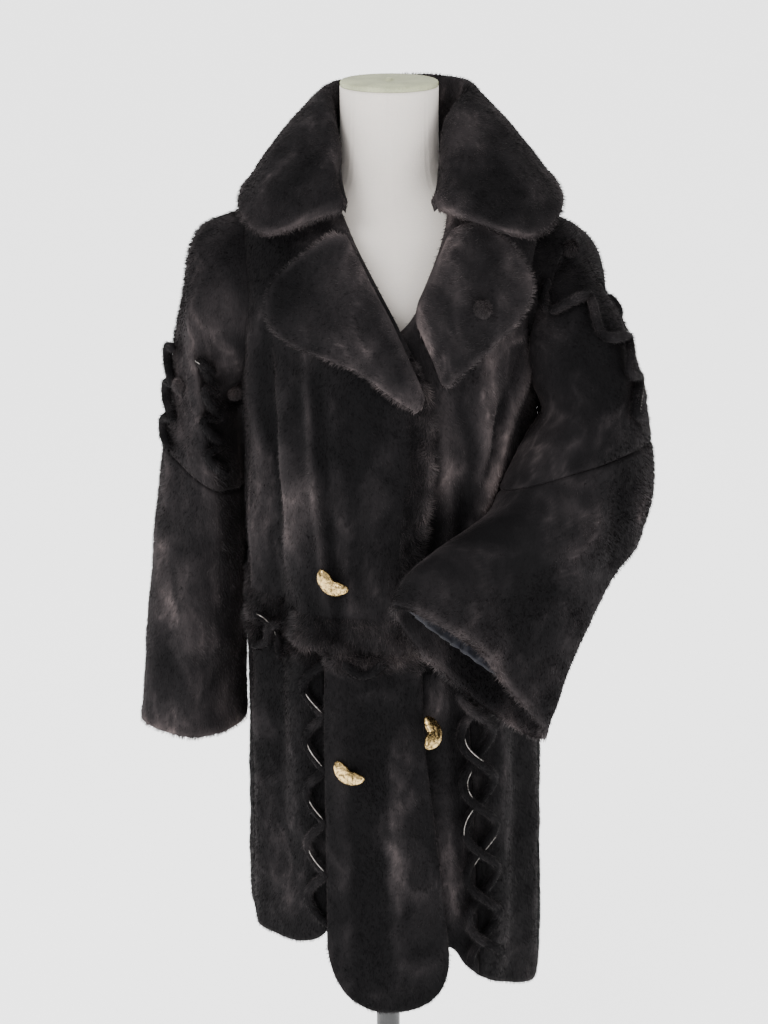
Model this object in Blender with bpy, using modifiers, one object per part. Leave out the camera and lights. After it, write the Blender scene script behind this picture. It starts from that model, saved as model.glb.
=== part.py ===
"""Sheared fur coat, double-breasted, worn on a limbless dress form with a pole stand.

Metres, +Z up. The wearer faces -Y, so the wearer's left is +X. The origin is the centre of
the stand's underside. Every cloth piece is a wall between two lofted faces: an outer face,
which is the fur's surface, and an inner face at the wall's depth below it.
"""

import bpy
import bmesh
import numpy as np
from mathutils import Matrix, Vector

# ---- walls and gaps -------------------------------------------------------------------
FUR_WALL = 0.010          # leather and sheared fur together
EDGE_TAPER = 0.30         # share of the wall lost at a free, rounded edge
EDGE_BULGE = 0.0032       # how far a free edge rounds out past its last section
SEAM_GAP = 0.0005         # parting of two pieces that are sewn together
REST_GAP = 0.0016         # parting of a cord and the fur that it lies on
ANGLE_STEPS = (0.25, 0.02)  # steps in degrees and rows from which a normal is worked out
SHARE_STEPS = (0.02, 0.02)  # the same where both are rows or shares
FACE_STEPS = (8.0, 0.30)    # the same over a sleeve's flat faces

# ---- the body of the coat -------------------------------------------------------------
BODY_POWER = 2.4          # squareness of the oval sections: 2 is an ellipse
HEIGHT, HALF_WIDTH, FRONT_DEPTH, BACK_DEPTH, SIDE_SHIFT = range(5)
BODY_ROWS = (
    (0.290, 0.1950, 0.204, 0.172, 0.0095),
    (0.450, 0.1930, 0.202, 0.170, 0.0095),
    (0.640, 0.1890, 0.197, 0.162, 0.0075),
    (0.820, 0.1830, 0.189, 0.150, 0.0040),
    (0.960, 0.1790, 0.182, 0.142, 0.0020),
    (1.100, 0.1785, 0.171, 0.136, 0.0000),
    (1.200, 0.1800, 0.153, 0.130, 0.0000),
    (1.270, 0.1820, 0.130, 0.120, 0.0000),
    (1.315, 0.1680, 0.108, 0.104, 0.0000),
    (1.343, 0.1240, 0.092, 0.090, 0.0000),
    (1.358, 0.0820, 0.080, 0.080, 0.0000),
)
WAIST_HEIGHT = 0.820      # dropped waist seam
BODICE_ROWS = 13          # points up a bodice panel
SKIRT_ROWS = 8            # points up a skirt panel
OVERLAP_LIFT = 0.0138     # how far the lapping front stands off the one below it
OVERLAP_START = -0.112    # x where the lapping front begins to rise
OVERLAP_FULL = -0.072     # x where it has risen fully
OVERLAP_FADE = (1.225, 1.300)   # heights between which the rise dies out at the neck

RIGHT_SEAM_X = -0.0755    # front skirt seam on the wearer's right
LEFT_SEAM_TOP_X = 0.094   # front skirt seam on the wearer's left, at the waist
LEFT_SEAM_LOW_X = 0.118   # and at the hem

# Free edges of the two fronts, seen from the front: height, x.
RIGHT_EDGE = (
    (0.330, 0.076), (0.400, 0.073), (0.577, 0.055), (0.743, 0.040), (0.939, 0.040),
    (1.052, 0.050), (1.128, 0.046), (1.200, 0.013), (1.246, -0.012), (1.290, -0.036),
    (1.325, -0.053), (1.345, -0.062), (1.362, -0.064),
)
LEFT_EDGE = (
    (0.330, -0.052), (1.120, -0.052), (1.170, -0.022), (1.215, 0.026), (1.270, 0.050),
    (1.310, 0.064), (1.345, 0.068), (1.362, 0.066),
)

# Soft vertical folds: angle round the body (0 front, + to the wearer's left) at the top and
# at the bottom, lowest and highest height, width in degrees and depth in metres.
FOLDS = (
    (-38.0, -26.0, 0.70, 1.19, 6.5, 0.0090),
    (-52.0, -42.0, 0.40, 1.20, 7.5, -0.0095),
    (-64.0, -60.0, 0.25, 1.10, 7.0, 0.0070),
    (9.0, 7.0, 0.20, 0.72, 8.0, 0.0060),
    (-9.0, -11.0, 0.20, 0.70, 7.5, -0.0070),
    (38.0, 26.0, 0.88, 1.20, 6.5, 0.0090),
    (53.0, 45.0, 0.20, 0.95, 8.0, -0.0075),
    (66.0, 63.0, 0.20, 0.90, 7.0, 0.0070),
    (128.0, 124.0, 0.20, 0.98, 10.0, 0.0110),
    (150.0, 148.0, 0.20, 1.12, 10.0, -0.0105),
    (172.0, 174.0, 0.20, 0.95, 10.0, 0.0100),
    (196.0, 193.0, 0.20, 1.08, 10.0, -0.0100),
    (219.0, 222.0, 0.20, 1.02, 10.0, 0.0105),
    (240.0, 243.0, 0.20, 0.90, 9.0, -0.0070),
)

FOLD_FADE = 0.15          # height over which a fold comes and goes
SKIRT_LENGTH = 0.480      # from the waist seam to the hem
SIDE_DEPTH = 0.170        # usual front depth, from which the side seams' gap is worked out

# Hem of each skirt panel: share of its width from its first edge, height.
HEM_SIDE_RIGHT = ((0.00, 0.396), (0.35, 0.394), (0.70, 0.401), (0.90, 0.415), (1.00, 0.436))
HEM_CENTRE_RIGHT = (
    (0.00, 0.418), (0.07, 0.376), (0.20, 0.344), (0.42, 0.329), (0.62, 0.333), (0.82, 0.350),
    (0.94, 0.376), (1.00, 0.412),
)
HEM_CENTRE_LEFT = ((0.00, 0.420), (0.50, 0.418), (0.74, 0.412), (0.86, 0.384), (1.00, 0.362))
HEM_SIDE_LEFT = (
    (0.00, 0.361), (0.20, 0.336), (0.45, 0.313), (0.70, 0.303), (0.90, 0.310), (1.00, 0.322),
)
HEM_BACK = ((0.00, 0.322), (0.25, 0.350), (0.50, 0.362), (0.75, 0.378), (1.00, 0.400))

# ---- collar ---------------------------------------------------------------------------
# Sections round the neck, from the right notch by the back to the left notch: degrees on
# from the front, then radius and height of the neck seam, the roll line and the outer edge.
NECK_SEAM, ROLL_LINE, OUTER_EDGE = slice(1, 3), slice(3, 5), slice(5, 7)
COLLAR_ROWS = (
    (24.0, 0.120, 1.328, 0.122, 1.338, 0.131, 1.331),
    (36.0, 0.104, 1.351, 0.099, 1.368, 0.147, 1.320),
    (49.0, 0.091, 1.360, 0.079, 1.396, 0.187, 1.304),
    (66.0, 0.084, 1.361, 0.070, 1.420, 0.187, 1.320),
    (90.0, 0.081, 1.361, 0.068, 1.437, 0.169, 1.334),
    (130.0, 0.080, 1.361, 0.074, 1.446, 0.158, 1.330),
    (180.0, 0.080, 1.361, 0.086, 1.447, 0.160, 1.316),
    (230.0, 0.080, 1.361, 0.100, 1.449, 0.172, 1.334),
    (270.0, 0.081, 1.361, 0.084, 1.442, 0.190, 1.345),
    (294.0, 0.084, 1.361, 0.073, 1.420, 0.216, 1.328),
    (311.0, 0.092, 1.360, 0.081, 1.394, 0.216, 1.306),
    (324.0, 0.106, 1.351, 0.101, 1.368, 0.170, 1.322),
    (336.0, 0.124, 1.330, 0.126, 1.340, 0.135, 1.334),
)
COLLAR_ROLL_WIDTH = 0.011   # radius of the fold at the roll line
COLLAR_ROLL_SHARE = 0.30    # and its most as a share of a short fall
COLLAR_BELLY = 0.011        # how far the fall bows outward
COLLAR_BELLY_SHARE = 0.20   # and its most as a share of a short fall
COLLAR_BELLY_PLACE = 0.55   # where along the fall it bows most
COLLAR_STAND_PLACE = 0.60   # a point up the stand, as a share of its height
COLLAR_COLUMNS = 27
COLLAR_STEPS = (0.0, 1.0, 2.0, 2.5, 3.0, 3.6, 4.3, 5.0)   # from the neck seam to the edge

# ---- lapels, seen from the front ------------------------------------------------------
ROLL_X, ROLL_Z, OUTER_X, OUTER_Z = range(4)
LAPEL_RIGHT = (
    (-0.048, 1.311, -0.062, 1.312), (-0.040, 1.298, -0.092, 1.293),
    (-0.030, 1.280, -0.130, 1.262), (-0.018, 1.257, -0.143, 1.232),
    (-0.006, 1.236, -0.135, 1.204), (0.004, 1.218, -0.110, 1.188),
    (0.014, 1.198, -0.076, 1.177), (0.026, 1.173, -0.034, 1.161),
    (0.036, 1.150, 0.006, 1.131), (0.042, 1.132, 0.032, 1.116),
)
LAPEL_LEFT = (
    (0.070, 1.314, 0.086, 1.320), (0.063, 1.303, 0.107, 1.316),
    (0.056, 1.288, 0.140, 1.295), (0.047, 1.270, 0.163, 1.262),
    (0.039, 1.252, 0.166, 1.240), (0.031, 1.234, 0.155, 1.216),
    (0.029, 1.214, 0.132, 1.193), (0.038, 1.192, 0.106, 1.172),
    (0.050, 1.166, 0.082, 1.153), (0.059, 1.144, 0.066, 1.139),
)
LAPEL_FLATNESS = 0.245    # half-width of the flatter oval that a lapel follows
LAPEL_PUFF = 0.005        # how far a lapel swells between its roll and its edge
LAPEL_PUFF_POWER = 0.7    # below 1 the swell lies nearer the roll
LAPEL_COLUMNS = 15
LAPEL_STEPS = (0.0, 0.12, 0.36, 0.64, 0.86, 1.0)   # from the roll to the outer edge
LAPEL_GAP = 0.0015        # parting of a lapel and the front that it lies on

# ---- sleeves --------------------------------------------------------------------------
# Rings down each sleeve: a point on the outer line, a point on the inner line, half the
# depth across them, and how far the ring leans so that its far side runs on.
OUTER_LINE, INNER_LINE, HALF_DEPTH, LEAN = slice(0, 3), slice(3, 6), slice(6, 7), slice(7, 8)
SLEEVE_RIGHT = (
    (-0.1500, 0.000, 1.316, -0.1500, -0.002, 1.112, 0.072, 0.0),
    (-0.2220, 0.006, 1.290, -0.1860, 0.006, 1.086, 0.083, 0.0),
    (-0.2410, 0.010, 1.236, -0.1840, 0.010, 1.060, 0.086, 0.0),
    (-0.2560, 0.014, 1.170, -0.1835, 0.014, 1.035, 0.086, 0.0),
    (-0.2680, 0.020, 1.085, -0.1825, 0.020, 0.998, 0.085, 0.0),
    (-0.2830, 0.024, 1.000, -0.1815, 0.024, 0.945, 0.084, 0.0),
    (-0.2930, 0.024, 0.905, -0.1820, 0.024, 0.870, 0.086, 0.0),
    (-0.3080, 0.020, 0.775, -0.1845, 0.020, 0.762, 0.090, 0.0),
    (-0.3215, 0.014, 0.645, -0.1865, 0.014, 0.641, 0.094, 0.0),
)
SLEEVE_LEFT = (
    (0.1500, 0.000, 1.316, 0.1500, -0.002, 1.112, 0.072, 0.0),
    (0.2240, 0.004, 1.290, 0.1860, -0.022, 1.094, 0.083, 0.0),
    (0.2530, 0.002, 1.230, 0.1820, -0.070, 1.084, 0.083, 0.0),
    (0.2680, 0.000, 1.160, 0.1690, -0.118, 1.068, 0.080, 0.0),
    (0.2940, -0.010, 1.080, 0.1520, -0.158, 1.038, 0.072, 0.0),
    (0.3160, -0.035, 0.992, 0.1300, -0.190, 1.003, 0.062, 0.0),
    (0.3020, -0.080, 0.934, 0.0970, -0.216, 0.985, 0.055, 0.0),
    (0.2510, -0.136, 0.876, 0.0550, -0.240, 0.966, 0.050, 2.0),
    (0.2120, -0.187, 0.798, 0.0200, -0.254, 0.938, 0.050, 10.0),
    (0.1830, -0.222, 0.718, 0.0010, -0.258, 0.903, 0.049, 22.0),
)
SLEEVE_CUT_RIGHT = 4.75   # ring number of the seam between upper and lower sleeve
SLEEVE_CUT_LEFT = 4.55
SLEEVE_SIDES = 20
SLEEVE_SEAM_ROWS = 0.007  # half the parting of the two pieces, in rings
ARMHOLE_GAP = 0.0012      # parting between the sleeve and the cut armhole
SLEEVE_SECTIONS = 8       # sections that each piece of a sleeve is drawn from
ARMHOLE_SECTIONS = 5      # how many of them the armhole's cutter follows
ARMHOLE_INSET = 0.010     # how far the cutter goes on inside the body's wall
SLEEVE_REST_GAP = 0.0035  # least parting of a hanging sleeve and the body's folds
SLEEVE_REST_RINGS = (1.2, 1.9)   # rings between which a sleeve comes to rest on the body

# Folds along a sleeve: the angle round it at the first and last ring, the rings between
# which the fold lies, its width in degrees and its depth in metres.
SLEEVE_FOLDS_RIGHT = (
    (-95.0, -120.0, 1.5, 6.5, 16.0, 0.0060),
    (-58.0, -66.0, 2.0, 8.6, 18.0, -0.0055),
    (-20.0, -28.0, 4.0, 9.0, 20.0, 0.0045),
    (70.0, 62.0, 2.0, 8.5, 22.0, -0.0055),
    (120.0, 110.0, 2.5, 8.8, 18.0, 0.0050),
)
SLEEVE_FOLDS_LEFT = (
    (62.0, 104.0, 1.2, 5.0, 15.0, 0.0060),
    (95.0, 138.0, 1.4, 5.2, 15.0, -0.0060),
    (28.0, 40.0, 5.6, 9.4, 13.0, 0.0060),
    (4.0, 14.0, 6.0, 9.2, 12.0, -0.0050),
    (-60.0, -70.0, 2.0, 8.0, 20.0, 0.0050),
)
LINING_WALL = 0.0018
LINING_CLEARANCE = 0.0024
LINING_RINGS = (7.3, 8.93)
LINING_GATHERS = 14       # ruched folds round the cuff's lining
LINING_GATHER_DEPTH = 0.0034
LINING_SIDES_PER_GATHER = 3
LINING_SECTIONS = 4

# ---- fur cords ------------------------------------------------------------------------
CORD_RADIUS = 0.0058
LACING_REACH = 0.021      # how far a loop reaches from its seam
SCALLOP_POWER = 1.1       # 1 gives a plain arch, more rounds the foot of each loop
LOOP_LENGTH = 0.066
POINTS_PER_LOOP = 6
CROSSING_START = 0.5      # crossing cords start half a loop in, at their widest

RIGHT_LACING_HEIGHTS = (0.806, 0.448)
LEFT_LACING_HEIGHTS = (0.770, 0.392)
LEFT_LACING_LOOPS = 6.0
WAIST_REACH = 0.017
# Cords under the waist seam: name, first and last angle, loops, lift of the panel below.
WAIST_CORDS = (
    ("waist_cord_centre", -13.5, -1.5, 1, OVERLAP_LIFT),
    ("waist_cord_left", 44.0, 84.0, 2, 0.0),
    ("waist_cord_back", 96.0, 234.0, 5, 0.0),
)
WAIST_CROSSING_ANGLES = (-58.0, -38.0)
WAIST_CROSSING_REACH = 0.020
SLEEVE_CORD_PUFF = 0.0020 # how far a sleeve loop stands up at its middle
SLEEVE_CORD_GAP = 0.0026  # parting of a sleeve's cord and its fur
# Cords down the sleeves: name, sleeve, angle at the top and bottom, first and last ring,
# loops, and how many degrees a loop reaches.
SLEEVE_CORDS = (
    ("sleeve_cord_right_front", "right", -122.0, -128.0, 1.15, 4.35, 4, 22.0),
    ("sleeve_cord_right_outer", "right", -46.0, -46.0, 2.90, 4.60, 3, 16.0),
    ("sleeve_cord_left_front", "left", 66.0, 60.0, 1.50, 4.20, 4, 20.0),
    ("sleeve_cord_left_outer", "left", -4.0, -4.0, 2.40, 4.30, 3, 16.0),
)

# ---- buttons --------------------------------------------------------------------------
BUTTON_LENGTH = 0.041
BUTTON_WIDTH = 0.022
BUTTON_THICKNESS = 0.012
BUTTON_BEND = 0.34        # how far the ends of the bean curl, as a share of its width
BUTTON_TAPER = 0.18       # how much narrower its ends are than its middle
BUTTON_REACH = 0.75       # half its width and its bend together, as a share of its width
BUTTON_STANDOFF = 0.0008  # how far a button's back is from the fur
BUTTON_SIDES = 14
BUTTON_RINGS = 8
# Buttons: x, height, turn of the long axis from level, tip about that axis.
BUTTONS = (
    (-0.0640, 0.907, -33.0, 8.0),
    (-0.0480, 0.666, -33.0, 8.0),
    (0.0490, 0.726, 84.0, 48.0),
)

# ---- dress form and stand -------------------------------------------------------------
FORM_ROWS = (
    (0.7003, 0.145, 0.098, 0.100, 0.0),
    (0.7120, 0.162, 0.112, 0.118, 0.0),
    (0.7800, 0.168, 0.120, 0.125, 0.0),
    (0.8600, 0.155, 0.112, 0.112, 0.0),
    (0.9600, 0.128, 0.100, 0.090, 0.0),
    (1.0600, 0.138, 0.120, 0.095, 0.0),
    (1.1500, 0.150, 0.136, 0.100, 0.0),
    (1.2200, 0.152, 0.126, 0.102, 0.0),
    (1.2650, 0.151, 0.107, 0.098, 0.0),
    (1.2950, 0.138, 0.091, 0.088, 0.0),
    (1.3180, 0.106, 0.076, 0.076, 0.0),
    (1.3350, 0.076, 0.065, 0.066, 0.0),
    (1.3550, 0.062, 0.059, 0.060, 0.0),
    (1.4000, 0.058, 0.057, 0.057, 0.0),
    (1.4545, 0.0575, 0.0575, 0.0575, 0.0),
)
FORM_POWER = 2.0
SHARP_ANGLE = 50.0        # edges that turn more than this show as sharp
CAP_SIDES = 32
POLE_SIDES = 24
BASE_SIDES = 40
FORM_SIDES = 26
CAP_RADIUS = 0.0572
CAP_TOP = 1.4610
CAP_ROUND = 0.0020
SCREW_RADIUS = 0.0040
SCREW_HEIGHT = 0.0030
POLE_RADIUS = 0.016
FLANGE_RADIUS = 0.038
FLANGE_HEIGHT = 0.010
BASE_RADIUS = 0.170
BASE_HEIGHT = 0.022
BASE_ROUND = 0.006
BASE_CENTRE_RADIUS = 0.030
BASE_CENTRE_HEIGHT = 0.034
METAL_GAP = 0.0003

# ---- colours --------------------------------------------------------------------------
FUR_COLOUR = (0.030, 0.023, 0.021)
CORD_COLOUR = (0.026, 0.024, 0.025)
LINING_COLOUR = (0.075, 0.080, 0.105)
GILT_COLOUR = (0.830, 0.640, 0.330)
LINEN_COLOUR = (0.800, 0.765, 0.720)
CAP_COLOUR = (0.560, 0.545, 0.440)
STAND_COLOUR = (0.060, 0.060, 0.062)


# ======================================================================================
# Scene, materials and meshes
# ======================================================================================

def clear_scene():
    """Remove every object that the file already holds."""
    for thing in list(bpy.data.objects):
        bpy.data.objects.remove(thing, do_unlink=True)


def make_collection(name):
    """A collection linked to the scene."""
    group = bpy.data.collections.new(name)
    bpy.context.scene.collection.children.link(group)
    return group


def make_material(name, colour, roughness, metallic=0.0):
    """One Principled material."""
    material = bpy.data.materials.new(name)
    material.use_nodes = True
    shader = material.node_tree.nodes["Principled BSDF"]
    shader.inputs["Base Color"].default_value = (*colour, 1.0)
    shader.inputs["Roughness"].default_value = roughness
    shader.inputs["Metallic"].default_value = metallic
    material.diffuse_color = (*colour, 1.0)
    return material


def add_mesh_object(name, points, faces, material, group):
    """Link a closed mesh, its faces turned outward and shaded smooth."""
    mesh = bpy.data.meshes.new(name)
    mesh.from_pydata([tuple(point) for point in points], [], [tuple(face) for face in faces])
    shape = bmesh.new()
    shape.from_mesh(mesh)
    bmesh.ops.recalc_face_normals(shape, faces=shape.faces)
    if shape.calc_volume(signed=True) < 0.0:
        bmesh.ops.reverse_faces(shape, faces=shape.faces)
    shape.to_mesh(mesh)
    shape.free()
    mesh.shade_smooth()
    mesh.set_sharp_from_angle(angle=np.radians(SHARP_ANGLE))
    mesh.materials.append(material)
    thing = bpy.data.objects.new(name, mesh)
    group.objects.link(thing)
    return thing


# ======================================================================================
# Reading tables and making surfaces
# ======================================================================================

def curve_piece(start, end, slope_in, slope_out, part):
    """A cubic piece between two values with the given slopes at its ends."""
    square = part * part
    cube = square * part
    return (start * (2.0 * cube - 3.0 * square + 1.0) + end * (3.0 * square - 2.0 * cube)
            + slope_in * (cube - 2.0 * square + part) + slope_out * (cube - square))


def read_rows(rows, place):
    """Every column of a table at fractional row numbers, on a smooth curve through its rows."""
    values = np.asarray(rows, dtype=float)
    place = np.clip(np.asarray(place, dtype=float), 0.0, len(values) - 1.0)
    low = np.minimum(place.astype(int), len(values) - 2)
    start = values[low]
    end = values[low + 1]
    slope_in = (end - values[np.maximum(low - 1, 0)]) / 2.0
    slope_out = (values[np.minimum(low + 2, len(values) - 1)] - start) / 2.0
    return curve_piece(start, end, slope_in, slope_out, (place - low)[..., None])


def through_points(points, place):
    """Places on a smooth curve through control points, each of them an array of points."""
    last = len(points) - 1
    result = np.zeros(np.broadcast(points[0], place[..., None]).shape)
    for index in range(last):
        start = points[index]
        end = points[index + 1]
        slope_in = (end - points[max(index - 1, 0)]) / 2.0
        slope_out = (points[min(index + 2, last)] - start) / 2.0
        part = np.clip(place - index, 0.0, 1.0)[..., None]
        piece = curve_piece(start, end, slope_in, slope_out, part)
        result = np.where((place >= index)[..., None], piece, result)
    return result


def row_where(rows, value):
    """The fractional row number at which a table's first, rising column has a value."""
    places = np.linspace(0.0, len(rows) - 1.0, 40 * len(rows))
    return np.interp(value, read_rows(rows, places)[:, 0], places)


def ease(value, low, high):
    """0 at or below low, 1 at or above high, smooth between."""
    part = np.clip((np.asarray(value, dtype=float) - low) / (high - low), 0.0, 1.0)
    return part * part * (3.0 - 2.0 * part)


def signed_power(value, power):
    """A power that keeps the value's sign."""
    return np.sign(value) * np.abs(value) ** power


def oval_points(rows, angle, row, power):
    """Points on a stack of oval sections; angle 0 is the front, + towards +X."""
    values = read_rows(rows, row)
    sine = np.sin(np.radians(angle))
    cosine = np.cos(np.radians(angle))
    depth = np.where(cosine > 0.0, values[..., FRONT_DEPTH], values[..., BACK_DEPTH])
    x = values[..., SIDE_SHIFT] + values[..., HALF_WIDTH] * signed_power(sine, 2.0 / power)
    y = -depth * signed_power(cosine, 2.0 / power)
    return np.stack([x, y, values[..., HEIGHT]], axis=-1)


def moved_out(surface, first, second, distance, steps=ANGLE_STEPS):
    """Points of surface(first, second) moved along its normal by a distance."""
    across = surface(first + steps[0], second) - surface(first - steps[0], second)
    along = surface(first, second + steps[1]) - surface(first, second - steps[1])
    normal = unit(np.cross(across, along))
    return surface(first, second) + normal * np.asarray(distance)[..., None]


def rim_loops(rows, columns, closed):
    """Grid numbers along each free rim of a grid of points."""
    index = np.arange(rows * columns).reshape(rows, columns)
    if closed:
        return [index[0], index[-1][::-1]]
    return [np.concatenate([index[0, :-1], index[:-1, -1], index[-1, :0:-1], index[:0:-1, 0]])]


def unit(vectors):
    """Vectors scaled to a length of one."""
    return vectors / np.maximum(np.linalg.norm(vectors, axis=-1, keepdims=True), 1e-9)


def wall(name, outer, inner, material, group, soft=(), closed=False):
    """A closed wall between an outer and an inner grid of points.

    soft names the rims that are free edges (low, high, first, last): there the wall thins
    and rounds out. The other rims stay square, because another piece is sewn on there.
    closed joins the last column to the first, for a tube.
    """
    rows, columns = outer.shape[:2]
    middle = (outer + inner) / 2.0
    outer = outer.copy()
    inner = inner.copy()
    bulge = np.zeros_like(middle)
    for rim, edge, beside in (("low", (0, slice(None)), (1, slice(None))),
                              ("high", (-1, slice(None)), (-2, slice(None))),
                              ("first", (slice(None), 0), (slice(None), 1)),
                              ("last", (slice(None), -1), (slice(None), -2))):
        if rim in soft:
            outer[edge] += (middle[edge] - outer[edge]) * EDGE_TAPER
            inner[edge] += (middle[edge] - inner[edge]) * EDGE_TAPER
            bulge[edge] += unit(middle[edge] - middle[beside]) * EDGE_BULGE
    loops = rim_loops(rows, columns, closed)
    count = rows * columns
    points = [outer.reshape(-1, 3), inner.reshape(-1, 3)]
    faces = []
    index = np.arange(count).reshape(rows, columns)
    if closed:
        index = np.concatenate([index, index[:, :1]], axis=1)
    quads = np.stack([index[:-1, :-1], index[:-1, 1:], index[1:, 1:], index[1:, :-1]],
                     axis=-1).reshape(-1, 4)
    faces.extend(quads.tolist())
    faces.extend((quads[:, ::-1] + count).tolist())
    start = 2 * count
    for loop in loops:
        after = np.roll(loop, -1)
        if soft:
            points.append((middle + bulge).reshape(-1, 3)[loop])
            centre = start + np.arange(len(loop))
            centre_after = start + np.roll(np.arange(len(loop)), -1)
            faces.extend(np.stack([after, loop, centre, centre_after], axis=-1).tolist())
            faces.extend(np.stack([centre_after, centre, loop + count, after + count],
                                  axis=-1).tolist())
            start += len(loop)
        else:
            faces.extend(np.stack([after, loop, loop + count, after + count],
                                  axis=-1).tolist())
    return add_mesh_object(name, np.concatenate(points), faces, material, group)


def solid_from_rings(name, rings, material, group):
    """A closed solid from a stack of rings, with a flat fan at each end."""
    rows, columns = rings.shape[:2]
    index = np.arange(rows * columns).reshape(rows, columns)
    index = np.concatenate([index, index[:, :1]], axis=1)
    quads = np.stack([index[:-1, :-1], index[:-1, 1:], index[1:, 1:], index[1:, :-1]],
                     axis=-1).reshape(-1, 4)
    faces = quads.tolist()
    low = rows * columns
    high = low + 1
    faces.extend(np.stack([index[0, 1:], index[0, :-1], np.full(columns, low)],
                          axis=-1).tolist())
    faces.extend(np.stack([index[-1, :-1], index[-1, 1:], np.full(columns, high)],
                          axis=-1).tolist())
    points = np.concatenate([rings.reshape(-1, 3), rings[0].mean(axis=0)[None],
                             rings[-1].mean(axis=0)[None]])
    return add_mesh_object(name, points, faces, material, group)


def turned(name, profile, sides, material, group):
    """A solid of revolution: an outer profile from top to bottom, turned about Z."""
    mesh = bpy.data.meshes.new(name)
    points = [(radius, 0.0, height) for radius, height in profile]
    mesh.from_pydata(points, [(i, i + 1) for i in range(len(points) - 1)], [])
    mesh.materials.append(material)
    thing = bpy.data.objects.new(name, mesh)
    group.objects.link(thing)
    spin = thing.modifiers.new("turn", "SCREW")
    spin.axis = "Z"
    spin.steps = sides
    spin.render_steps = sides
    spin.use_merge_vertices = True
    spin.merge_threshold = 0.00001
    spin.use_smooth_shade = True
    return thing


def cord(name, path, radius, material, group):
    """A round cord along a list of points, its ends filled."""
    curve = bpy.data.curves.new(name, "CURVE")
    curve.dimensions = "3D"
    curve.bevel_depth = radius
    curve.bevel_resolution = 1
    curve.use_fill_caps = True
    line = curve.splines.new("POLY")
    line.points.add(len(path) - 1)
    for point, place in zip(line.points, path):
        point.co = (*place, 1.0)
    curve.materials.append(material)
    thing = bpy.data.objects.new(name, curve)
    group.objects.link(thing)
    return thing


# ======================================================================================
# The body of the coat
# ======================================================================================

def fold_push(angle, height):
    """How far the folds push the body's surface out at an angle and a height."""
    total = np.zeros(np.broadcast(angle, height).shape)
    for angle_top, angle_low, low, high, width, depth in FOLDS:
        share = np.clip((height - low) / (high - low), 0.0, 1.0)
        centre = angle_low + (angle_top - angle_low) * share
        away = (angle - centre + 180.0) % 360.0 - 180.0
        fade = ease(height, low, low + FOLD_FADE) * (1.0 - ease(height, high - FOLD_FADE, high))
        total = total + depth * np.exp(-(away / width) ** 2) * fade
    return total


def body_surface(angle, row):
    """The coat's outer surface before any overlap, folds included."""
    points = oval_points(BODY_ROWS, angle, row, BODY_POWER)
    push = fold_push(angle, points[..., 2])
    outward = np.stack([np.sin(np.radians(angle)), -np.cos(np.radians(angle)),
                        np.zeros_like(push)], axis=-1)
    return points + outward * push[..., None]


def body_skin(angle, row, lift):
    """The coat's surface moved outward by a lift."""
    return moved_out(body_surface, angle, row, lift)


def height_at(row):
    """The height of a body row."""
    return read_rows(BODY_ROWS, row)[..., HEIGHT]


def angle_at(x, row):
    """The angle on the front half of the body at which a section has the given x."""
    values = read_rows(BODY_ROWS, row)
    share = np.clip((x - values[..., SIDE_SHIFT]) / values[..., HALF_WIDTH], -1.0, 1.0)
    return np.degrees(np.arcsin(signed_power(share, BODY_POWER / 2.0)))


def x_at(angle, row):
    """The x of a section at an angle on the front half of the body."""
    values = read_rows(BODY_ROWS, row)
    sine = np.sin(np.radians(angle))
    return (values[..., SIDE_SHIFT]
            + values[..., HALF_WIDTH] * signed_power(sine, 2.0 / BODY_POWER))


def read_curve(table, value):
    """The second column of a table where its first, rising column has a value."""
    return read_rows(table, row_where(table, value))[..., 1]


def overlap_lift(x, height):
    """How far the lapping front stands off: it rises past its fold, dies out at the neck."""
    rise = ease(x, OVERLAP_START, OVERLAP_FULL)
    return OVERLAP_LIFT * rise * (1.0 - ease(height, *OVERLAP_FADE))


def no_lift(x, height):
    """The lift of a panel that doesn't lap over another."""
    return np.zeros(np.broadcast(x, height).shape)


def full_lift(x, height):
    """The lift of the lapping skirt panel, raised over its whole width."""
    return np.full(np.broadcast(x, height).shape, OVERLAP_LIFT)


def side_seam(turn, side):
    """A rim at a side seam: turn is the seam's angle, side the way the panel lies from it."""
    back_off = np.degrees((SEAM_GAP / 2.0 / SIDE_DEPTH) ** (BODY_POWER / 2.0))

    def rim(row):
        return turn + side * back_off + np.zeros_like(row)
    return rim


def free_rim(table):
    """A rim along a free front edge, given by a table of heights and x."""
    def rim(row):
        return angle_at(read_curve(table, height_at(row)), row)
    return rim


def seam_rim(top_x, low_x, side):
    """A rim along a skirt seam that runs from top_x at the waist to low_x at the hem."""
    def rim(row):
        share = np.clip((WAIST_HEIGHT - height_at(row)) / SKIRT_LENGTH, 0.0, 1.0)
        return angle_at(top_x + (low_x - top_x) * share + side * SEAM_GAP / 2.0, row)
    return rim


def hem_line(table):
    """The body row of a panel's hem, from a table of shares and heights."""
    def line(share):
        return row_where(BODY_ROWS, read_curve(table, share))
    return line


def level_line(height):
    """A level rim: the same body row all along."""
    def line(share):
        return row_where(BODY_ROWS, height) + np.zeros_like(share)
    return line


def panel(name, first, last, low, high, columns, rows, lift, material, group, soft=()):
    """One body panel between two upright rims, first and last, and two level ones."""
    share = np.linspace(0.0, 1.0, columns)[None, :]
    up = np.linspace(0.0, 1.0, rows)[:, None]
    row = low(share) * (1.0 - up) + high(share) * up
    angle = first(row) * (1.0 - share) + last(row) * share
    offset = lift(x_at(angle, row), height_at(row))
    outer = body_skin(angle, row, offset)
    inner = body_skin(angle, row, offset - FUR_WALL)
    return wall(name, outer, inner, material, group, soft)


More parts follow.
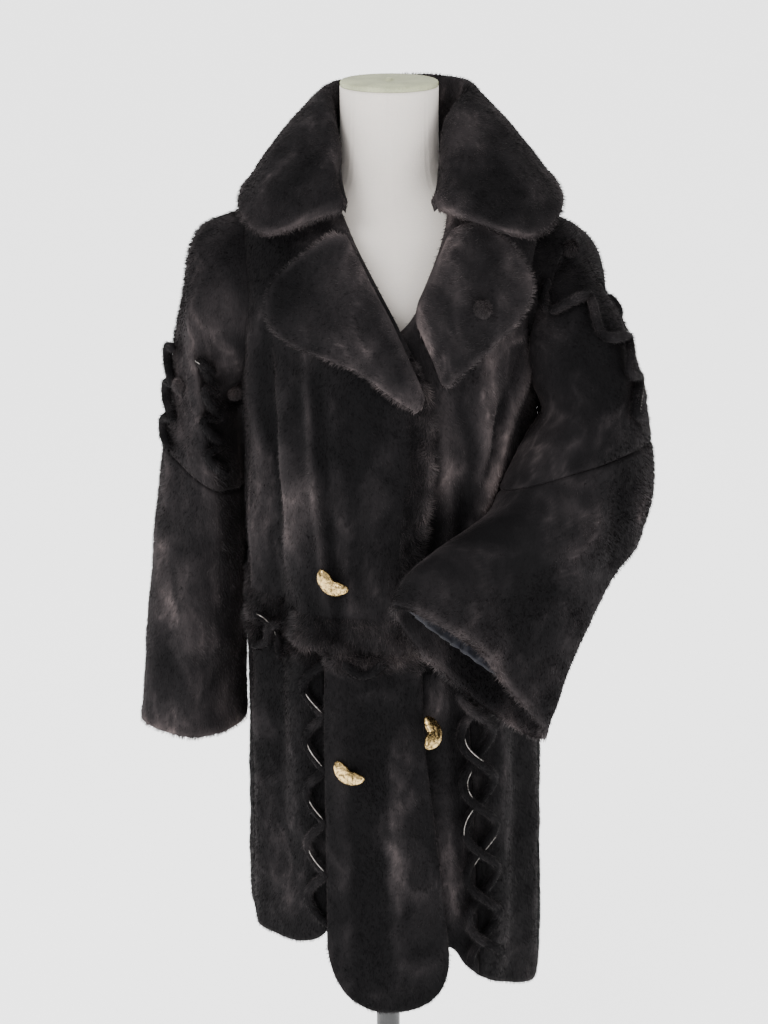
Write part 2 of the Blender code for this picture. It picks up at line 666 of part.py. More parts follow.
def make_bodice(material, group):
    """The back and the two fronts, from the waist seam to the neck seam."""
    waist = level_line(WAIST_HEIGHT + SEAM_GAP / 2.0)
    neck = level_line(BODY_ROWS[-1][0])
    right = panel("bodice_front_right", side_seam(-90.0, 1.0), free_rim(RIGHT_EDGE),
                  waist, neck, 16, BODICE_ROWS, overlap_lift, material, group, ("last",))
    left = panel("bodice_front_left", free_rim(LEFT_EDGE), side_seam(90.0, -1.0),
                 waist, neck, 13, BODICE_ROWS, no_lift, material, group, ("first",))
    back = panel("bodice_back", side_seam(90.0, 1.0), side_seam(270.0, -1.0),
                 waist, neck, 20, BODICE_ROWS, no_lift, material, group)
    return right, left, back


def make_skirt(material, group):
    """The five panels below the waist seam."""
    waist = level_line(WAIST_HEIGHT - SEAM_GAP / 2.0)
    panel("skirt_side_right", side_seam(-90.0, 1.0),
          seam_rim(RIGHT_SEAM_X, RIGHT_SEAM_X, -1.0),
          hem_line(HEM_SIDE_RIGHT), waist, 12, SKIRT_ROWS, no_lift, material, group, ("low",))
    panel("skirt_centre_right", seam_rim(RIGHT_SEAM_X, RIGHT_SEAM_X, 1.0),
          free_rim(RIGHT_EDGE), hem_line(HEM_CENTRE_RIGHT), waist, 14, SKIRT_ROWS, full_lift,
          material, group, ("low", "first", "last"))
    panel("skirt_centre_left", free_rim(LEFT_EDGE),
          seam_rim(LEFT_SEAM_TOP_X, LEFT_SEAM_LOW_X, -1.0),
          hem_line(HEM_CENTRE_LEFT), waist, 9, SKIRT_ROWS, no_lift, material, group,
          ("low", "first"))
    panel("skirt_side_left", seam_rim(LEFT_SEAM_TOP_X, LEFT_SEAM_LOW_X, 1.0),
          side_seam(90.0, -1.0), hem_line(HEM_SIDE_LEFT), waist, 12, SKIRT_ROWS, no_lift,
          material, group, ("low",))
    panel("skirt_back", side_seam(90.0, 1.0), side_seam(270.0, -1.0), hem_line(HEM_BACK),
          waist, 22, SKIRT_ROWS, no_lift, material, group, ("low",))


# ======================================================================================
# Collar and lapels
# ======================================================================================

def collar_surface(around, across):
    """The middle of the collar: up the stand, over the roll and down the fall.

    across runs from 0 at the neck seam to 5 at the outer edge.
    """
    values = read_rows(COLLAR_ROWS, row_where(COLLAR_ROWS, around))
    seam = values[..., NECK_SEAM]
    roll = values[..., ROLL_LINE]
    edge = values[..., OUTER_EDGE]
    reach = edge - roll
    length = np.linalg.norm(reach, axis=-1, keepdims=True)
    width = np.minimum(COLLAR_ROLL_WIDTH, COLLAR_ROLL_SHARE * length)
    belly = np.minimum(COLLAR_BELLY, COLLAR_BELLY_SHARE * length)
    bow = np.concatenate([-reach[..., 1:], reach[..., :1]], axis=-1) / length
    points = (seam, seam + (roll - seam) * COLLAR_STAND_PLACE,
              roll - width * np.array((0.0, 1.0)),
              roll + width * np.array((1.0, 0.0)),
              roll + reach * COLLAR_BELLY_PLACE + bow * belly, edge)
    place = through_points(points, across)
    turn = np.radians(around)
    return np.stack([-place[..., 0] * np.sin(turn), -place[..., 0] * np.cos(turn),
                     place[..., 1]], axis=-1)


def make_collar(material, group):
    """The turned-over collar, one piece round the neck."""
    around = np.linspace(COLLAR_ROWS[0][0], COLLAR_ROWS[-1][0], COLLAR_COLUMNS)[None, :]
    across = np.array(COLLAR_STEPS)[:, None]
    around, across = np.broadcast_arrays(around, across)
    half = FUR_WALL / 2.0
    return wall("collar", moved_out(collar_surface, around, across, -half),
                moved_out(collar_surface, around, across, half), material, group,
                ("high", "first", "last"))


def lapel_surface(table, lift):
    """A lapel's outer surface: its outline on a flatter oval than the body's own."""
    def surface(place, share):
        values = read_rows(table, place)
        x = values[..., ROLL_X] * (1.0 - share) + values[..., OUTER_X] * share
        z = values[..., ROLL_Z] * (1.0 - share) + values[..., OUTER_Z] * share
        front = read_rows(BODY_ROWS, row_where(BODY_ROWS, z))[..., FRONT_DEPTH]
        flat = (1.0 - np.abs(x / LAPEL_FLATNESS) ** BODY_POWER) ** (1.0 / BODY_POWER)
        puff = LAPEL_PUFF * np.sin(np.pi * np.clip(share, 0.0, 1.0) ** LAPEL_PUFF_POWER)
        return np.stack([x, -(front + lift + puff) * flat, z], axis=-1)
    return surface


def make_lapel(name, table, lift, side, material, group):
    """One lapel, lying on its front; side is +1 where its rows turn outward."""
    surface = lapel_surface(table, lift)
    place = np.linspace(0.0, len(table) - 1.0, LAPEL_COLUMNS)[None, :]
    share = np.array(LAPEL_STEPS)[:, None]
    place, share = np.broadcast_arrays(place, share)
    outer = moved_out(surface, place, share, 0.0, SHARE_STEPS)
    inner = moved_out(surface, place, share, side * FUR_WALL, SHARE_STEPS)
    return wall(name, outer, inner, material, group, ("low", "high", "first", "last"))


# ======================================================================================
# Sleeves
# ======================================================================================

def sleeve_frame(table, row):
    """Centre, half-length to the outer line and half-depth across it, at fractional rows."""
    def centre_at(place):
        values = read_rows(table, place)
        return (values[..., OUTER_LINE] + values[..., INNER_LINE]) / 2.0
    values = read_rows(table, row)
    half = (values[..., OUTER_LINE] - values[..., INNER_LINE]) / 2.0
    along = unit(centre_at(row + 0.5) - centre_at(row - 0.5))
    depth = values[..., HALF_DEPTH]
    lean = np.radians(values[..., LEAN])
    side = unit(np.cross(along, half)) * depth * np.cos(lean) - along * depth * np.sin(lean)
    return centre_at(row), half, side


def rested(points, share):
    """Points moved straight out from the body's middle where they'd lie in its folds.

    share is how much of the move is made: 0 in the armhole, 1 below it.
    """
    values = read_rows(BODY_ROWS, row_where(BODY_ROWS, points[..., 2]))
    side = points[..., 0] - values[..., SIDE_SHIFT]
    front = -points[..., 1]
    depth = np.where(front > 0.0, values[..., FRONT_DEPTH], values[..., BACK_DEPTH])
    x_part = side / values[..., HALF_WIDTH]
    y_part = front / depth
    size = (np.abs(x_part) ** BODY_POWER + np.abs(y_part) ** BODY_POWER) ** (1.0 / BODY_POWER)
    angle = np.degrees(np.arctan2(signed_power(x_part / size, BODY_POWER / 2.0),
                                  signed_power(y_part / size, BODY_POWER / 2.0)))
    radius = np.hypot(side, front)
    least = radius / size + fold_push(angle, points[..., 2]) + SLEEVE_REST_GAP
    move = share * np.maximum(least - radius, 0.0) / radius
    return points + np.stack([side, -front, np.zeros_like(side)], axis=-1) * move[..., None]


def sleeve_surface(table, folds):
    """A sleeve's outer surface by angle (0 on its outer line) and row."""
    def surface(angle, row):
        centre, half, side = sleeve_frame(table, row)
        cosine = np.cos(np.radians(angle))[..., None]
        sine = np.sin(np.radians(angle))[..., None]
        push = np.zeros(np.broadcast(angle, row).shape)
        for angle_top, angle_low, first, last, width, depth in folds:
            share = np.clip((row - first) / (last - first), 0.0, 1.0)
            away = angle - angle_top - (angle_low - angle_top) * share
            away = (away + 180.0) % 360.0 - 180.0
            fade = ease(row, first, first + 1.0) * (1.0 - ease(row, last - 1.0, last))
            push = push + depth * np.exp(-(away / width) ** 2) * fade
        outward = unit(half) * cosine + unit(side) * sine
        points = centre + half * cosine + side * sine + outward * push[..., None]
        return rested(points, ease(row, *SLEEVE_REST_RINGS))
    return surface


def on_faces(surface, first_row, last_row):
    """The surface that a sleeve piece's own flat faces make between its sections."""
    wide = 360.0 / SLEEVE_SIDES
    tall = (last_row - first_row) / (SLEEVE_SECTIONS - 1)

    def flat(angle, row):
        column = np.floor(angle / wide)
        section = np.clip(np.floor((row - first_row) / tall), 0, SLEEVE_SECTIONS - 2)
        across = (angle / wide - column)[..., None]
        down = ((row - first_row) / tall - section)[..., None]

        def corner(right, low):
            return surface((column + right) * wide, first_row + (section + low) * tall)
        top = corner(0, 0) * (1.0 - across) + corner(1, 0) * across
        bottom = corner(0, 1) * (1.0 - across) + corner(1, 1) * across
        return top * (1.0 - down) + bottom * down
    return flat


def tube_grid(first_row, last_row, columns, rows):
    """Angles round a tube and rows along it."""
    angle = np.linspace(0.0, 360.0, columns, endpoint=False)[None, :]
    row = np.linspace(first_row, last_row, rows)[:, None]
    return np.broadcast_arrays(angle, row)


def sleeve_piece(name, surface, first_row, last_row, material, group, soft):
    """One tube of a sleeve between two rows, its wall laid off towards each ring's middle."""
    angle, row = tube_grid(first_row, last_row, SLEEVE_SIDES, SLEEVE_SECTIONS)
    outer = surface(angle, row)
    inner = outer + unit(outer.mean(axis=1, keepdims=True) - outer) * FUR_WALL
    inner = rested(inner, ease(row, *SLEEVE_REST_RINGS))
    return wall(name, outer, inner, material, group, soft, closed=True)


def make_sleeve(side, table, folds, cut, material, group):
    """The upper and the lower piece of one sleeve."""
    surface = sleeve_surface(table, folds)
    last = len(table) - 1.0
    sleeve_piece("sleeve_upper_" + side, surface, 0.0, cut - SLEEVE_SEAM_ROWS,
                 material, group, ())
    sleeve_piece("sleeve_lower_" + side, surface, cut + SLEEVE_SEAM_ROWS, last,
                 material, group, ("high",))
    return surface


def cut_armhole(side, inward, surface, cut, panels, material, group):
    """Open the armhole in the panels round the head of one sleeve.

    The cutter follows the upper sleeve's own sections a gap away from it, and runs on
    through the wall.
    """
    angle, row = tube_grid(0.0, cut - SLEEVE_SEAM_ROWS, SLEEVE_SIDES, SLEEVE_SECTIONS)
    rings = moved_out(surface, angle, row, ARMHOLE_GAP)[:ARMHOLE_SECTIONS]
    start = rings[:1] + np.array((inward * ARMHOLE_INSET, 0.0, 0.0))
    cutter = solid_from_rings("armhole_cutter_" + side, np.concatenate([start, rings]),
                              material, group)
    cutter.hide_render = True
    cutter.display_type = "WIRE"
    for piece in panels:
        opening = piece.modifiers.new("armhole_" + side, "BOOLEAN")
        opening.operation = "DIFFERENCE"
        opening.object = cutter


def make_cuff_lining(surface, material, group):
    """The gathered lining just inside the left cuff."""
    angle, row = tube_grid(*LINING_RINGS, LINING_SIDES_PER_GATHER * LINING_GATHERS,
                           LINING_SECTIONS)
    gather = LINING_GATHER_DEPTH * (0.5 + 0.5 * np.cos(np.radians(angle) * LINING_GATHERS))
    depth = (FUR_WALL + LINING_CLEARANCE + gather)[..., None]
    first = SLEEVE_CUT_LEFT + SLEEVE_SEAM_ROWS
    fur = on_faces(surface, first, len(SLEEVE_LEFT) - 1.0)(angle, row)
    toward = unit(fur.mean(axis=1, keepdims=True) - fur)
    return wall("cuff_lining_left", fur + toward * depth, fur + toward * (depth + LINING_WALL),
                material, group, closed=True)


# ======================================================================================
# Fur cords
# ======================================================================================

def scallop(share):
    """0 at whole numbers and 1 halfway between them."""
    return np.abs(np.sin(np.pi * share)) ** SCALLOP_POWER


def make_right_lacing(material, group):
    """A cord that loops out from under the lapping skirt panel's seam."""
    top, low = RIGHT_LACING_HEIGHTS
    loops = round((top - low) / LOOP_LENGTH)
    share = np.linspace(0.0, loops, loops * POINTS_PER_LOOP + 1)
    row = row_where(BODY_ROWS, top + (low - top) * share / loops)
    clear = EDGE_BULGE + CORD_RADIUS + REST_GAP
    x = RIGHT_SEAM_X - clear - LACING_REACH * scallop(share)
    path = body_skin(angle_at(x, row), row, np.full_like(row, CORD_RADIUS + REST_GAP))
    return cord("skirt_lacing_right", path, CORD_RADIUS, material, group)


def crossing_strands(name, place, loops, reach, material, group):
    """Two cords that swing to either side of a seam and pass over each other in turn.

    place(share, sway, lift) gives a point from the share of the way along the seam.
    """
    turns = CROSSING_START + np.linspace(0.0, loops, int(round(loops * POINTS_PER_LOOP)) + 1)
    share = (turns - CROSSING_START) / loops
    over = 2.0 * CORD_RADIUS + REST_GAP
    for label, way in (("a", 1.0), ("b", -1.0)):
        sway = way * reach * np.sin(np.pi * turns)
        above = (1.0 + way * np.cos(np.pi * turns)) / 2.0
        lift = CORD_RADIUS + REST_GAP + over * above
        cord(name + "_" + label, place(share, sway, lift), CORD_RADIUS, material, group)


def make_left_lacing(material, group):
    """The crossing cords down the left skirt seam."""
    top, low = LEFT_LACING_HEIGHTS

    def place(share, sway, lift):
        height = top + (low - top) * share
        down = np.clip((WAIST_HEIGHT - height) / SKIRT_LENGTH, 0.0, 1.0)
        x = LEFT_SEAM_TOP_X + (LEFT_SEAM_LOW_X - LEFT_SEAM_TOP_X) * down + sway
        row = row_where(BODY_ROWS, height)
        return body_skin(angle_at(x, row), row, lift)

    crossing_strands("skirt_lacing_left", place, LEFT_LACING_LOOPS, LACING_REACH, material, group)


def make_waist_cords(material, group):
    """A scalloped cord under the waist seam on each panel, and a crossing at the right."""
    for name, first, last, loops, base_lift in WAIST_CORDS:
        share = np.linspace(0.0, loops, loops * POINTS_PER_LOOP + 1)
        height = WAIST_HEIGHT - CORD_RADIUS - WAIST_REACH * scallop(share)
        row = row_where(BODY_ROWS, height)
        angle = first + (last - first) * share / loops
        lift = np.full_like(row, base_lift + CORD_RADIUS + REST_GAP)
        cord(name, body_skin(angle, row, lift), CORD_RADIUS, material, group)

    first, last = WAIST_CROSSING_ANGLES

    def place(share, sway, lift):
        row = row_where(BODY_ROWS, WAIST_HEIGHT + sway)
        return body_skin(first + (last - first) * share, row, lift)

    crossing_strands("waist_crossing", place, 1.0, WAIST_CROSSING_REACH, material, group)


def make_sleeve_cords(surfaces, material, group):
    """Looped cords down the upper sleeves."""
    for name, side, angle_top, angle_low, first, last, loops, reach in SLEEVE_CORDS:
        share = np.linspace(0.0, loops, loops * POINTS_PER_LOOP + 1)
        row = first + (last - first) * share / loops
        angle = angle_top + (angle_low - angle_top) * share / loops + reach * scallop(share)
        lift = CORD_RADIUS + SLEEVE_CORD_GAP + SLEEVE_CORD_PUFF * scallop(share)
        surface, cut = surfaces[side]
        flat = on_faces(surface, 0.0, cut - SLEEVE_SEAM_ROWS)
        cord(name, moved_out(flat, angle, row, lift, FACE_STEPS), CORD_RADIUS, material, group)


# ======================================================================================
# Buttons, form and stand
# ======================================================================================

def make_button(name, x, height, turn, lean, standoff, material, group):
    """A bean-shaped button: a flattened ball whose long axis is bent."""
    bpy.ops.mesh.primitive_uv_sphere_add(segments=BUTTON_SIDES, ring_count=BUTTON_RINGS, radius=1.0)
    button = bpy.context.object
    button.name = name
    button.data.name = name
    for home in list(button.users_collection):
        home.objects.unlink(button)
    group.objects.link(button)
    for vertex in button.data.vertices:
        along, across, out = vertex.co
        bend = BUTTON_BEND * BUTTON_WIDTH * along * along
        vertex.co = (along * BUTTON_LENGTH / 2.0,
                     across * BUTTON_WIDTH / 2.0 * (1.0 - BUTTON_TAPER * along * along) + bend,
                     out * BUTTON_THICKNESS / 2.0)
    button.data.shade_smooth()
    button.data.materials.append(material)
    row = row_where(BODY_ROWS, np.array([height]))
    angle = angle_at(np.array([x]), row)
    place = body_skin(angle, row, np.array([standoff]))[0]
    out = Vector(unit(body_skin(angle, row, np.array([1.0])) - body_skin(angle, row,
                                                                       np.array([0.0])))[0])
    right = Vector((0.0, 0.0, 1.0)).cross(out).normalized()
    up = out.cross(right)
    frame = Matrix((right, up, out)).transposed()
    spin = Matrix.Rotation(np.radians(turn), 3, "Z") @ Matrix.Rotation(np.radians(lean), 3, "X")
    button.matrix_world = (Matrix.Translation(Vector(place))
                           @ (frame @ spin).to_4x4())
    return button


def make_buttons(material, group):
    """The three buttons that show on the lapping front."""
    for number, (x, height, turn, lean) in enumerate(BUTTONS, start=1):
        tilt = np.radians(lean)
        reach = np.hypot(BUTTON_WIDTH * BUTTON_REACH * np.sin(tilt),
                         BUTTON_THICKNESS / 2.0 * np.cos(tilt))
        make_button("button_%d" % number, x, height, turn, lean,
                    OVERLAP_LIFT + reach + BUTTON_STANDOFF, material, group)


def make_form(linen, cap_paint, group):
    """The limbless torso, its neck cap and the small screw on it."""
    row = np.arange(len(FORM_ROWS), dtype=float)[:, None]
    angle = np.linspace(0.0, 360.0, FORM_SIDES, endpoint=False)[None, :]
    angle, row = np.broadcast_arrays(angle, row)
    solid_from_rings("form_torso", oval_points(FORM_ROWS, angle, row, FORM_POWER), linen, group)
    low = FORM_ROWS[-1][0] + METAL_GAP
    turned("form_cap", (
        (0.0, CAP_TOP + SCREW_HEIGHT), (SCREW_RADIUS, CAP_TOP + SCREW_HEIGHT),
        (SCREW_RADIUS, CAP_TOP), (CAP_RADIUS - CAP_ROUND, CAP_TOP),
        (CAP_RADIUS, CAP_TOP - CAP_ROUND), (CAP_RADIUS, low), (0.0, low)),
        CAP_SIDES, cap_paint, group)


def make_stand(paint, group):
    """A round base with a low hub, and the pole that carries the form on a flange."""
    top = FORM_ROWS[0][0] - METAL_GAP
    turned("stand_pole", (
        (0.0, top), (FLANGE_RADIUS, top), (FLANGE_RADIUS, top - FLANGE_HEIGHT),
        (POLE_RADIUS, top - FLANGE_HEIGHT), (POLE_RADIUS, BASE_CENTRE_HEIGHT + METAL_GAP),
        (0.0, BASE_CENTRE_HEIGHT + METAL_GAP)), POLE_SIDES, paint, group)
    turned("stand_base", (
        (0.0, BASE_CENTRE_HEIGHT), (BASE_CENTRE_RADIUS, BASE_CENTRE_HEIGHT),
        (BASE_CENTRE_RADIUS + BASE_ROUND, BASE_HEIGHT), (BASE_RADIUS - BASE_ROUND, BASE_HEIGHT),
        (BASE_RADIUS, BASE_HEIGHT - BASE_ROUND), (BASE_RADIUS, 0.0), (0.0, 0.0)),
        BASE_SIDES, paint, group)


# ======================================================================================
# The whole object
# ======================================================================================

def main():
    clear_scene()
    parts = make_collection("fur_coat_on_dress_form")
    cutters = make_collection("cutters")
    fur = make_material("beaver_fur", FUR_COLOUR, 0.90)
    cord_fur = make_material("cord_fur", CORD_COLOUR, 0.90)
    lining = make_material("lining_cloth", LINING_COLOUR, 0.55)
    gilt = make_material("gilt_metal", GILT_COLOUR, 0.28, 1.0)
    linen = make_material("form_linen", LINEN_COLOUR, 0.92)
    cap_paint = make_material("cap_paint", CAP_COLOUR, 0.50)
    stand_paint = make_material("stand_paint", STAND_COLOUR, 0.45)

    front_right, front_left, back = make_bodice(fur, parts)
    make_skirt(fur, parts)
    make_collar(fur, parts)
    make_lapel("lapel_right", LAPEL_RIGHT, OVERLAP_LIFT + FUR_WALL + LAPEL_GAP, 1.0, fur, parts)
    make_lapel("lapel_left", LAPEL_LEFT, FUR_WALL + LAPEL_GAP, -1.0, fur, parts)
    right_sleeve = make_sleeve("right", SLEEVE_RIGHT, SLEEVE_FOLDS_RIGHT, SLEEVE_CUT_RIGHT,
                               fur, parts)
    left_sleeve = make_sleeve("left", SLEEVE_LEFT, SLEEVE_FOLDS_LEFT, SLEEVE_CUT_LEFT,
                              fur, parts)
    surfaces = {"right": (right_sleeve, SLEEVE_CUT_RIGHT), "left": (left_sleeve, SLEEVE_CUT_LEFT)}
    cut_armhole("right", 1.0, *surfaces["right"], (front_right, back), fur, cutters)
    cut_armhole("left", -1.0, *surfaces["left"], (front_left, back), fur, cutters)
    make_cuff_lining(left_sleeve, lining, parts)
    make_right_lacing(cord_fur, parts)
    make_left_lacing(cord_fur, parts)
    make_waist_cords(cord_fur, parts)
    make_sleeve_cords(surfaces, cord_fur, parts)
    make_buttons(gilt, parts)
    make_form(linen, cap_paint, parts)
    make_stand(stand_paint, parts)


if __name__ == "__main__":
    main()
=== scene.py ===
"""Sheared fur coat on a limbless dress form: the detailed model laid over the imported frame.

Metres, +Z up, the wearer faces -Y, the origin is the middle of the stand's underside.
Each operator builds one group of pieces. The coat's panels are closed walls whose outer face
follows the same surfaces as the solids, with finer creases and lumps; the pile is made of
many small blades joined into one mesh for each group.
"""

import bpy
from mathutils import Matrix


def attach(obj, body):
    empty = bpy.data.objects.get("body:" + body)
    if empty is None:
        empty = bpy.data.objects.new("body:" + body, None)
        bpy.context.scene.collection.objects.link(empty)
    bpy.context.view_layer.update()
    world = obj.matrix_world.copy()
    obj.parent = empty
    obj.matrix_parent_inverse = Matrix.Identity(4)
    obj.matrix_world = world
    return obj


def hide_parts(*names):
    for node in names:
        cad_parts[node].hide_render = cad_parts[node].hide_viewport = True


bl_info = {
    "name": "Sheared fur coat",
    "version": (1, 0, 0),
    "blender": (4, 5, 0),
    "location": "View3D > Sidebar > Coat",
    "description": "Builds a sheared fur coat worn on a dress form",
    "category": "Object",
}

from collections import namedtuple

import bpy
import numpy as np
from bpy.props import FloatProperty, FloatVectorProperty, IntProperty, PointerProperty
from mathutils import Euler, Vector

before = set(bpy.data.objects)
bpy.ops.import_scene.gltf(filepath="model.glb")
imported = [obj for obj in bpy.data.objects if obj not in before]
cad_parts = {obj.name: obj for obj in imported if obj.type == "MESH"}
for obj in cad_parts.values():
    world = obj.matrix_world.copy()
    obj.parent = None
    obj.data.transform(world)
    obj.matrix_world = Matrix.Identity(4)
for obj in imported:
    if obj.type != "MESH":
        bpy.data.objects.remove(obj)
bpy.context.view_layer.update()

# ---- walls and gaps -------------------------------------------------------------------
FUR_WALL = 0.010          # leather and sheared fur together
EDGE_BULGE = 0.0032       # how far a free edge rounds out past its last section
SEAM_GAP = 0.0005         # parting of two pieces that are sewn together
REST_GAP = 0.0016         # parting of a cord and the fur that it lies on
ANGLE_STEPS = (0.25, 0.02)  # steps in degrees and rows from which a normal is worked out
SHARE_STEPS = (0.02, 0.02)  # the same where both are rows or shares
LEVEL = np.array((1.0, 1.0, 0.0))   # times a point, leaves only its way out from the axis

# ---- the body of the coat -------------------------------------------------------------
BODY_POWER = 2.4          # squareness of the oval sections: 2 is an ellipse
HEIGHT, HALF_WIDTH, FRONT_DEPTH, BACK_DEPTH, SIDE_SHIFT = range(5)
BODY_ROWS = (
    (0.290, 0.1950, 0.204, 0.172, 0.0095),
    (0.450, 0.1930, 0.202, 0.170, 0.0095),
    (0.640, 0.1890, 0.197, 0.162, 0.0075),
    (0.820, 0.1830, 0.189, 0.150, 0.0040),
    (0.960, 0.1790, 0.182, 0.142, 0.0020),
    (1.100, 0.1785, 0.171, 0.136, 0.0000),
    (1.200, 0.1800, 0.153, 0.130, 0.0000),
    (1.270, 0.1820, 0.130, 0.120, 0.0000),
    (1.315, 0.1680, 0.108, 0.104, 0.0000),
    (1.343, 0.1240, 0.092, 0.090, 0.0000),
    (1.358, 0.0820, 0.080, 0.080, 0.0000),
)
WAIST_HEIGHT = 0.820      # dropped waist seam
OVERLAP_LIFT = 0.0138     # how far the lapping front stands off the one below it
OVERLAP_START = -0.112    # x where the lapping front begins to rise
OVERLAP_FULL = -0.072     # x where it has risen fully
OVERLAP_FADE = (1.225, 1.300)   # heights between which the rise dies out at the neck

RIGHT_SEAM_X = -0.0755    # front skirt seam on the wearer's right
LEFT_SEAM_TOP_X = 0.094   # front skirt seam on the wearer's left, at the waist
LEFT_SEAM_LOW_X = 0.118   # and at the hem

# Free edges of the two fronts, seen from the front: height, x.
RIGHT_EDGE = (
    (0.330, 0.076), (0.400, 0.073), (0.577, 0.055), (0.743, 0.040), (0.939, 0.040),
    (1.052, 0.050), (1.128, 0.046), (1.200, 0.013), (1.246, -0.012), (1.290, -0.036),
    (1.325, -0.053), (1.345, -0.062), (1.362, -0.064),
)
LEFT_EDGE = (
    (0.330, -0.052), (1.120, -0.052), (1.170, -0.022), (1.215, 0.026), (1.270, 0.050),
    (1.310, 0.064), (1.345, 0.068), (1.362, 0.066),
)

# Soft vertical folds: angle round the body (0 front, + to the wearer's left) at the top and
# at the bottom, lowest and highest height, width in degrees and depth in metres.
FOLDS = (
    (-38.0, -26.0, 0.70, 1.19, 6.5, 0.0090),
    (-52.0, -42.0, 0.40, 1.20, 7.5, -0.0095),
    (-64.0, -60.0, 0.25, 1.10, 7.0, 0.0070),
    (9.0, 7.0, 0.20, 0.72, 8.0, 0.0060),
    (-9.0, -11.0, 0.20, 0.70, 7.5, -0.0070),
    (38.0, 26.0, 0.88, 1.20, 6.5, 0.0090),
    (53.0, 45.0, 0.20, 0.95, 8.0, -0.0075),
    (66.0, 63.0, 0.20, 0.90, 7.0, 0.0070),
    (128.0, 124.0, 0.20, 0.98, 10.0, 0.0110),
    (150.0, 148.0, 0.20, 1.12, 10.0, -0.0105),
    (172.0, 174.0, 0.20, 0.95, 10.0, 0.0100),
    (196.0, 193.0, 0.20, 1.08, 10.0, -0.0100),
    (219.0, 222.0, 0.20, 1.02, 10.0, 0.0105),
    (240.0, 243.0, 0.20, 0.90, 9.0, -0.0070),
)

FOLD_FADE = 0.15          # height over which a fold comes and goes
SKIRT_LENGTH = 0.480      # from the waist seam to the hem
SIDE_DEPTH = 0.170        # usual front depth, from which the side seams' gap is worked out

# Hem of each skirt panel: share of its width from its first edge, height.
HEM_SIDE_RIGHT = ((0.00, 0.396), (0.35, 0.394), (0.70, 0.401), (0.90, 0.415), (1.00, 0.436))
HEM_CENTRE_RIGHT = (
    (0.00, 0.418), (0.07, 0.376), (0.20, 0.344), (0.42, 0.329), (0.62, 0.333), (0.82, 0.350),
    (0.94, 0.376), (1.00, 0.412),
)
HEM_CENTRE_LEFT = ((0.00, 0.420), (0.50, 0.418), (0.74, 0.412), (0.86, 0.384), (1.00, 0.362))
HEM_SIDE_LEFT = (
    (0.00, 0.361), (0.20, 0.336), (0.45, 0.313), (0.70, 0.303), (0.90, 0.310), (1.00, 0.322),
)
HEM_BACK = ((0.00, 0.322), (0.25, 0.350), (0.50, 0.362), (0.75, 0.378), (1.00, 0.400))

# ---- collar ---------------------------------------------------------------------------
# Sections round the neck, from the right notch by the back to the left notch: degrees on
# from the front, then radius and height of the neck seam, the roll line and the outer edge.
NECK_SEAM, ROLL_LINE, OUTER_EDGE = slice(1, 3), slice(3, 5), slice(5, 7)
COLLAR_ROWS = (
    (24.0, 0.120, 1.328, 0.122, 1.338, 0.131, 1.331),
    (36.0, 0.104, 1.351, 0.099, 1.368, 0.147, 1.320),
    (49.0, 0.091, 1.360, 0.079, 1.396, 0.187, 1.304),
    (66.0, 0.084, 1.361, 0.070, 1.420, 0.187, 1.320),
    (90.0, 0.081, 1.361, 0.068, 1.437, 0.169, 1.334),
    (130.0, 0.080, 1.361, 0.074, 1.446, 0.158, 1.330),
    (180.0, 0.080, 1.361, 0.086, 1.447, 0.160, 1.316),
    (230.0, 0.080, 1.361, 0.100, 1.449, 0.172, 1.334),
    (270.0, 0.081, 1.361, 0.084, 1.442, 0.190, 1.345),
    (294.0, 0.084, 1.361, 0.073, 1.420, 0.216, 1.328),
    (311.0, 0.092, 1.360, 0.081, 1.394, 0.216, 1.306),
    (324.0, 0.106, 1.351, 0.101, 1.368, 0.170, 1.322),
    (336.0, 0.124, 1.330, 0.126, 1.340, 0.135, 1.334),
)
COLLAR_ROLL_WIDTH = 0.011   # radius of the fold at the roll line
COLLAR_ROLL_SHARE = 0.30    # and its most as a share of a short fall
COLLAR_BELLY = 0.011        # how far the fall bows outward
COLLAR_BELLY_SHARE = 0.20   # and its most as a share of a short fall
COLLAR_BELLY_PLACE = 0.55   # where along the fall it bows most
COLLAR_STAND_PLACE = 0.60   # a point up the stand, as a share of its height

# ---- lapels, seen from the front ------------------------------------------------------
ROLL_X, ROLL_Z, OUTER_X, OUTER_Z = range(4)
LAPEL_RIGHT = (
    (-0.048, 1.311, -0.062, 1.312), (-0.040, 1.298, -0.092, 1.293),
    (-0.030, 1.280, -0.130, 1.262), (-0.018, 1.257, -0.143, 1.232),
    (-0.006, 1.236, -0.135, 1.204), (0.004, 1.218, -0.110, 1.188),
    (0.014, 1.198, -0.076, 1.177), (0.026, 1.173, -0.034, 1.161),
    (0.036, 1.150, 0.006, 1.131), (0.042, 1.132, 0.032, 1.116),
)
LAPEL_LEFT = (
    (0.070, 1.314, 0.086, 1.320), (0.063, 1.303, 0.107, 1.316),
    (0.056, 1.288, 0.140, 1.295), (0.047, 1.270, 0.163, 1.262),
    (0.039, 1.252, 0.166, 1.240), (0.031, 1.234, 0.155, 1.216),
    (0.029, 1.214, 0.132, 1.193), (0.038, 1.192, 0.106, 1.172),
    (0.050, 1.166, 0.082, 1.153), (0.059, 1.144, 0.066, 1.139),
)
LAPEL_FLATNESS = 0.245    # half-width of the flatter oval that a lapel follows
LAPEL_PUFF = 0.005        # how far a lapel swells between its roll and its edge
LAPEL_PUFF_POWER = 0.7    # below 1 the swell lies nearer the roll
LAPEL_GAP = 0.0015        # parting of a lapel and the front that it lies on

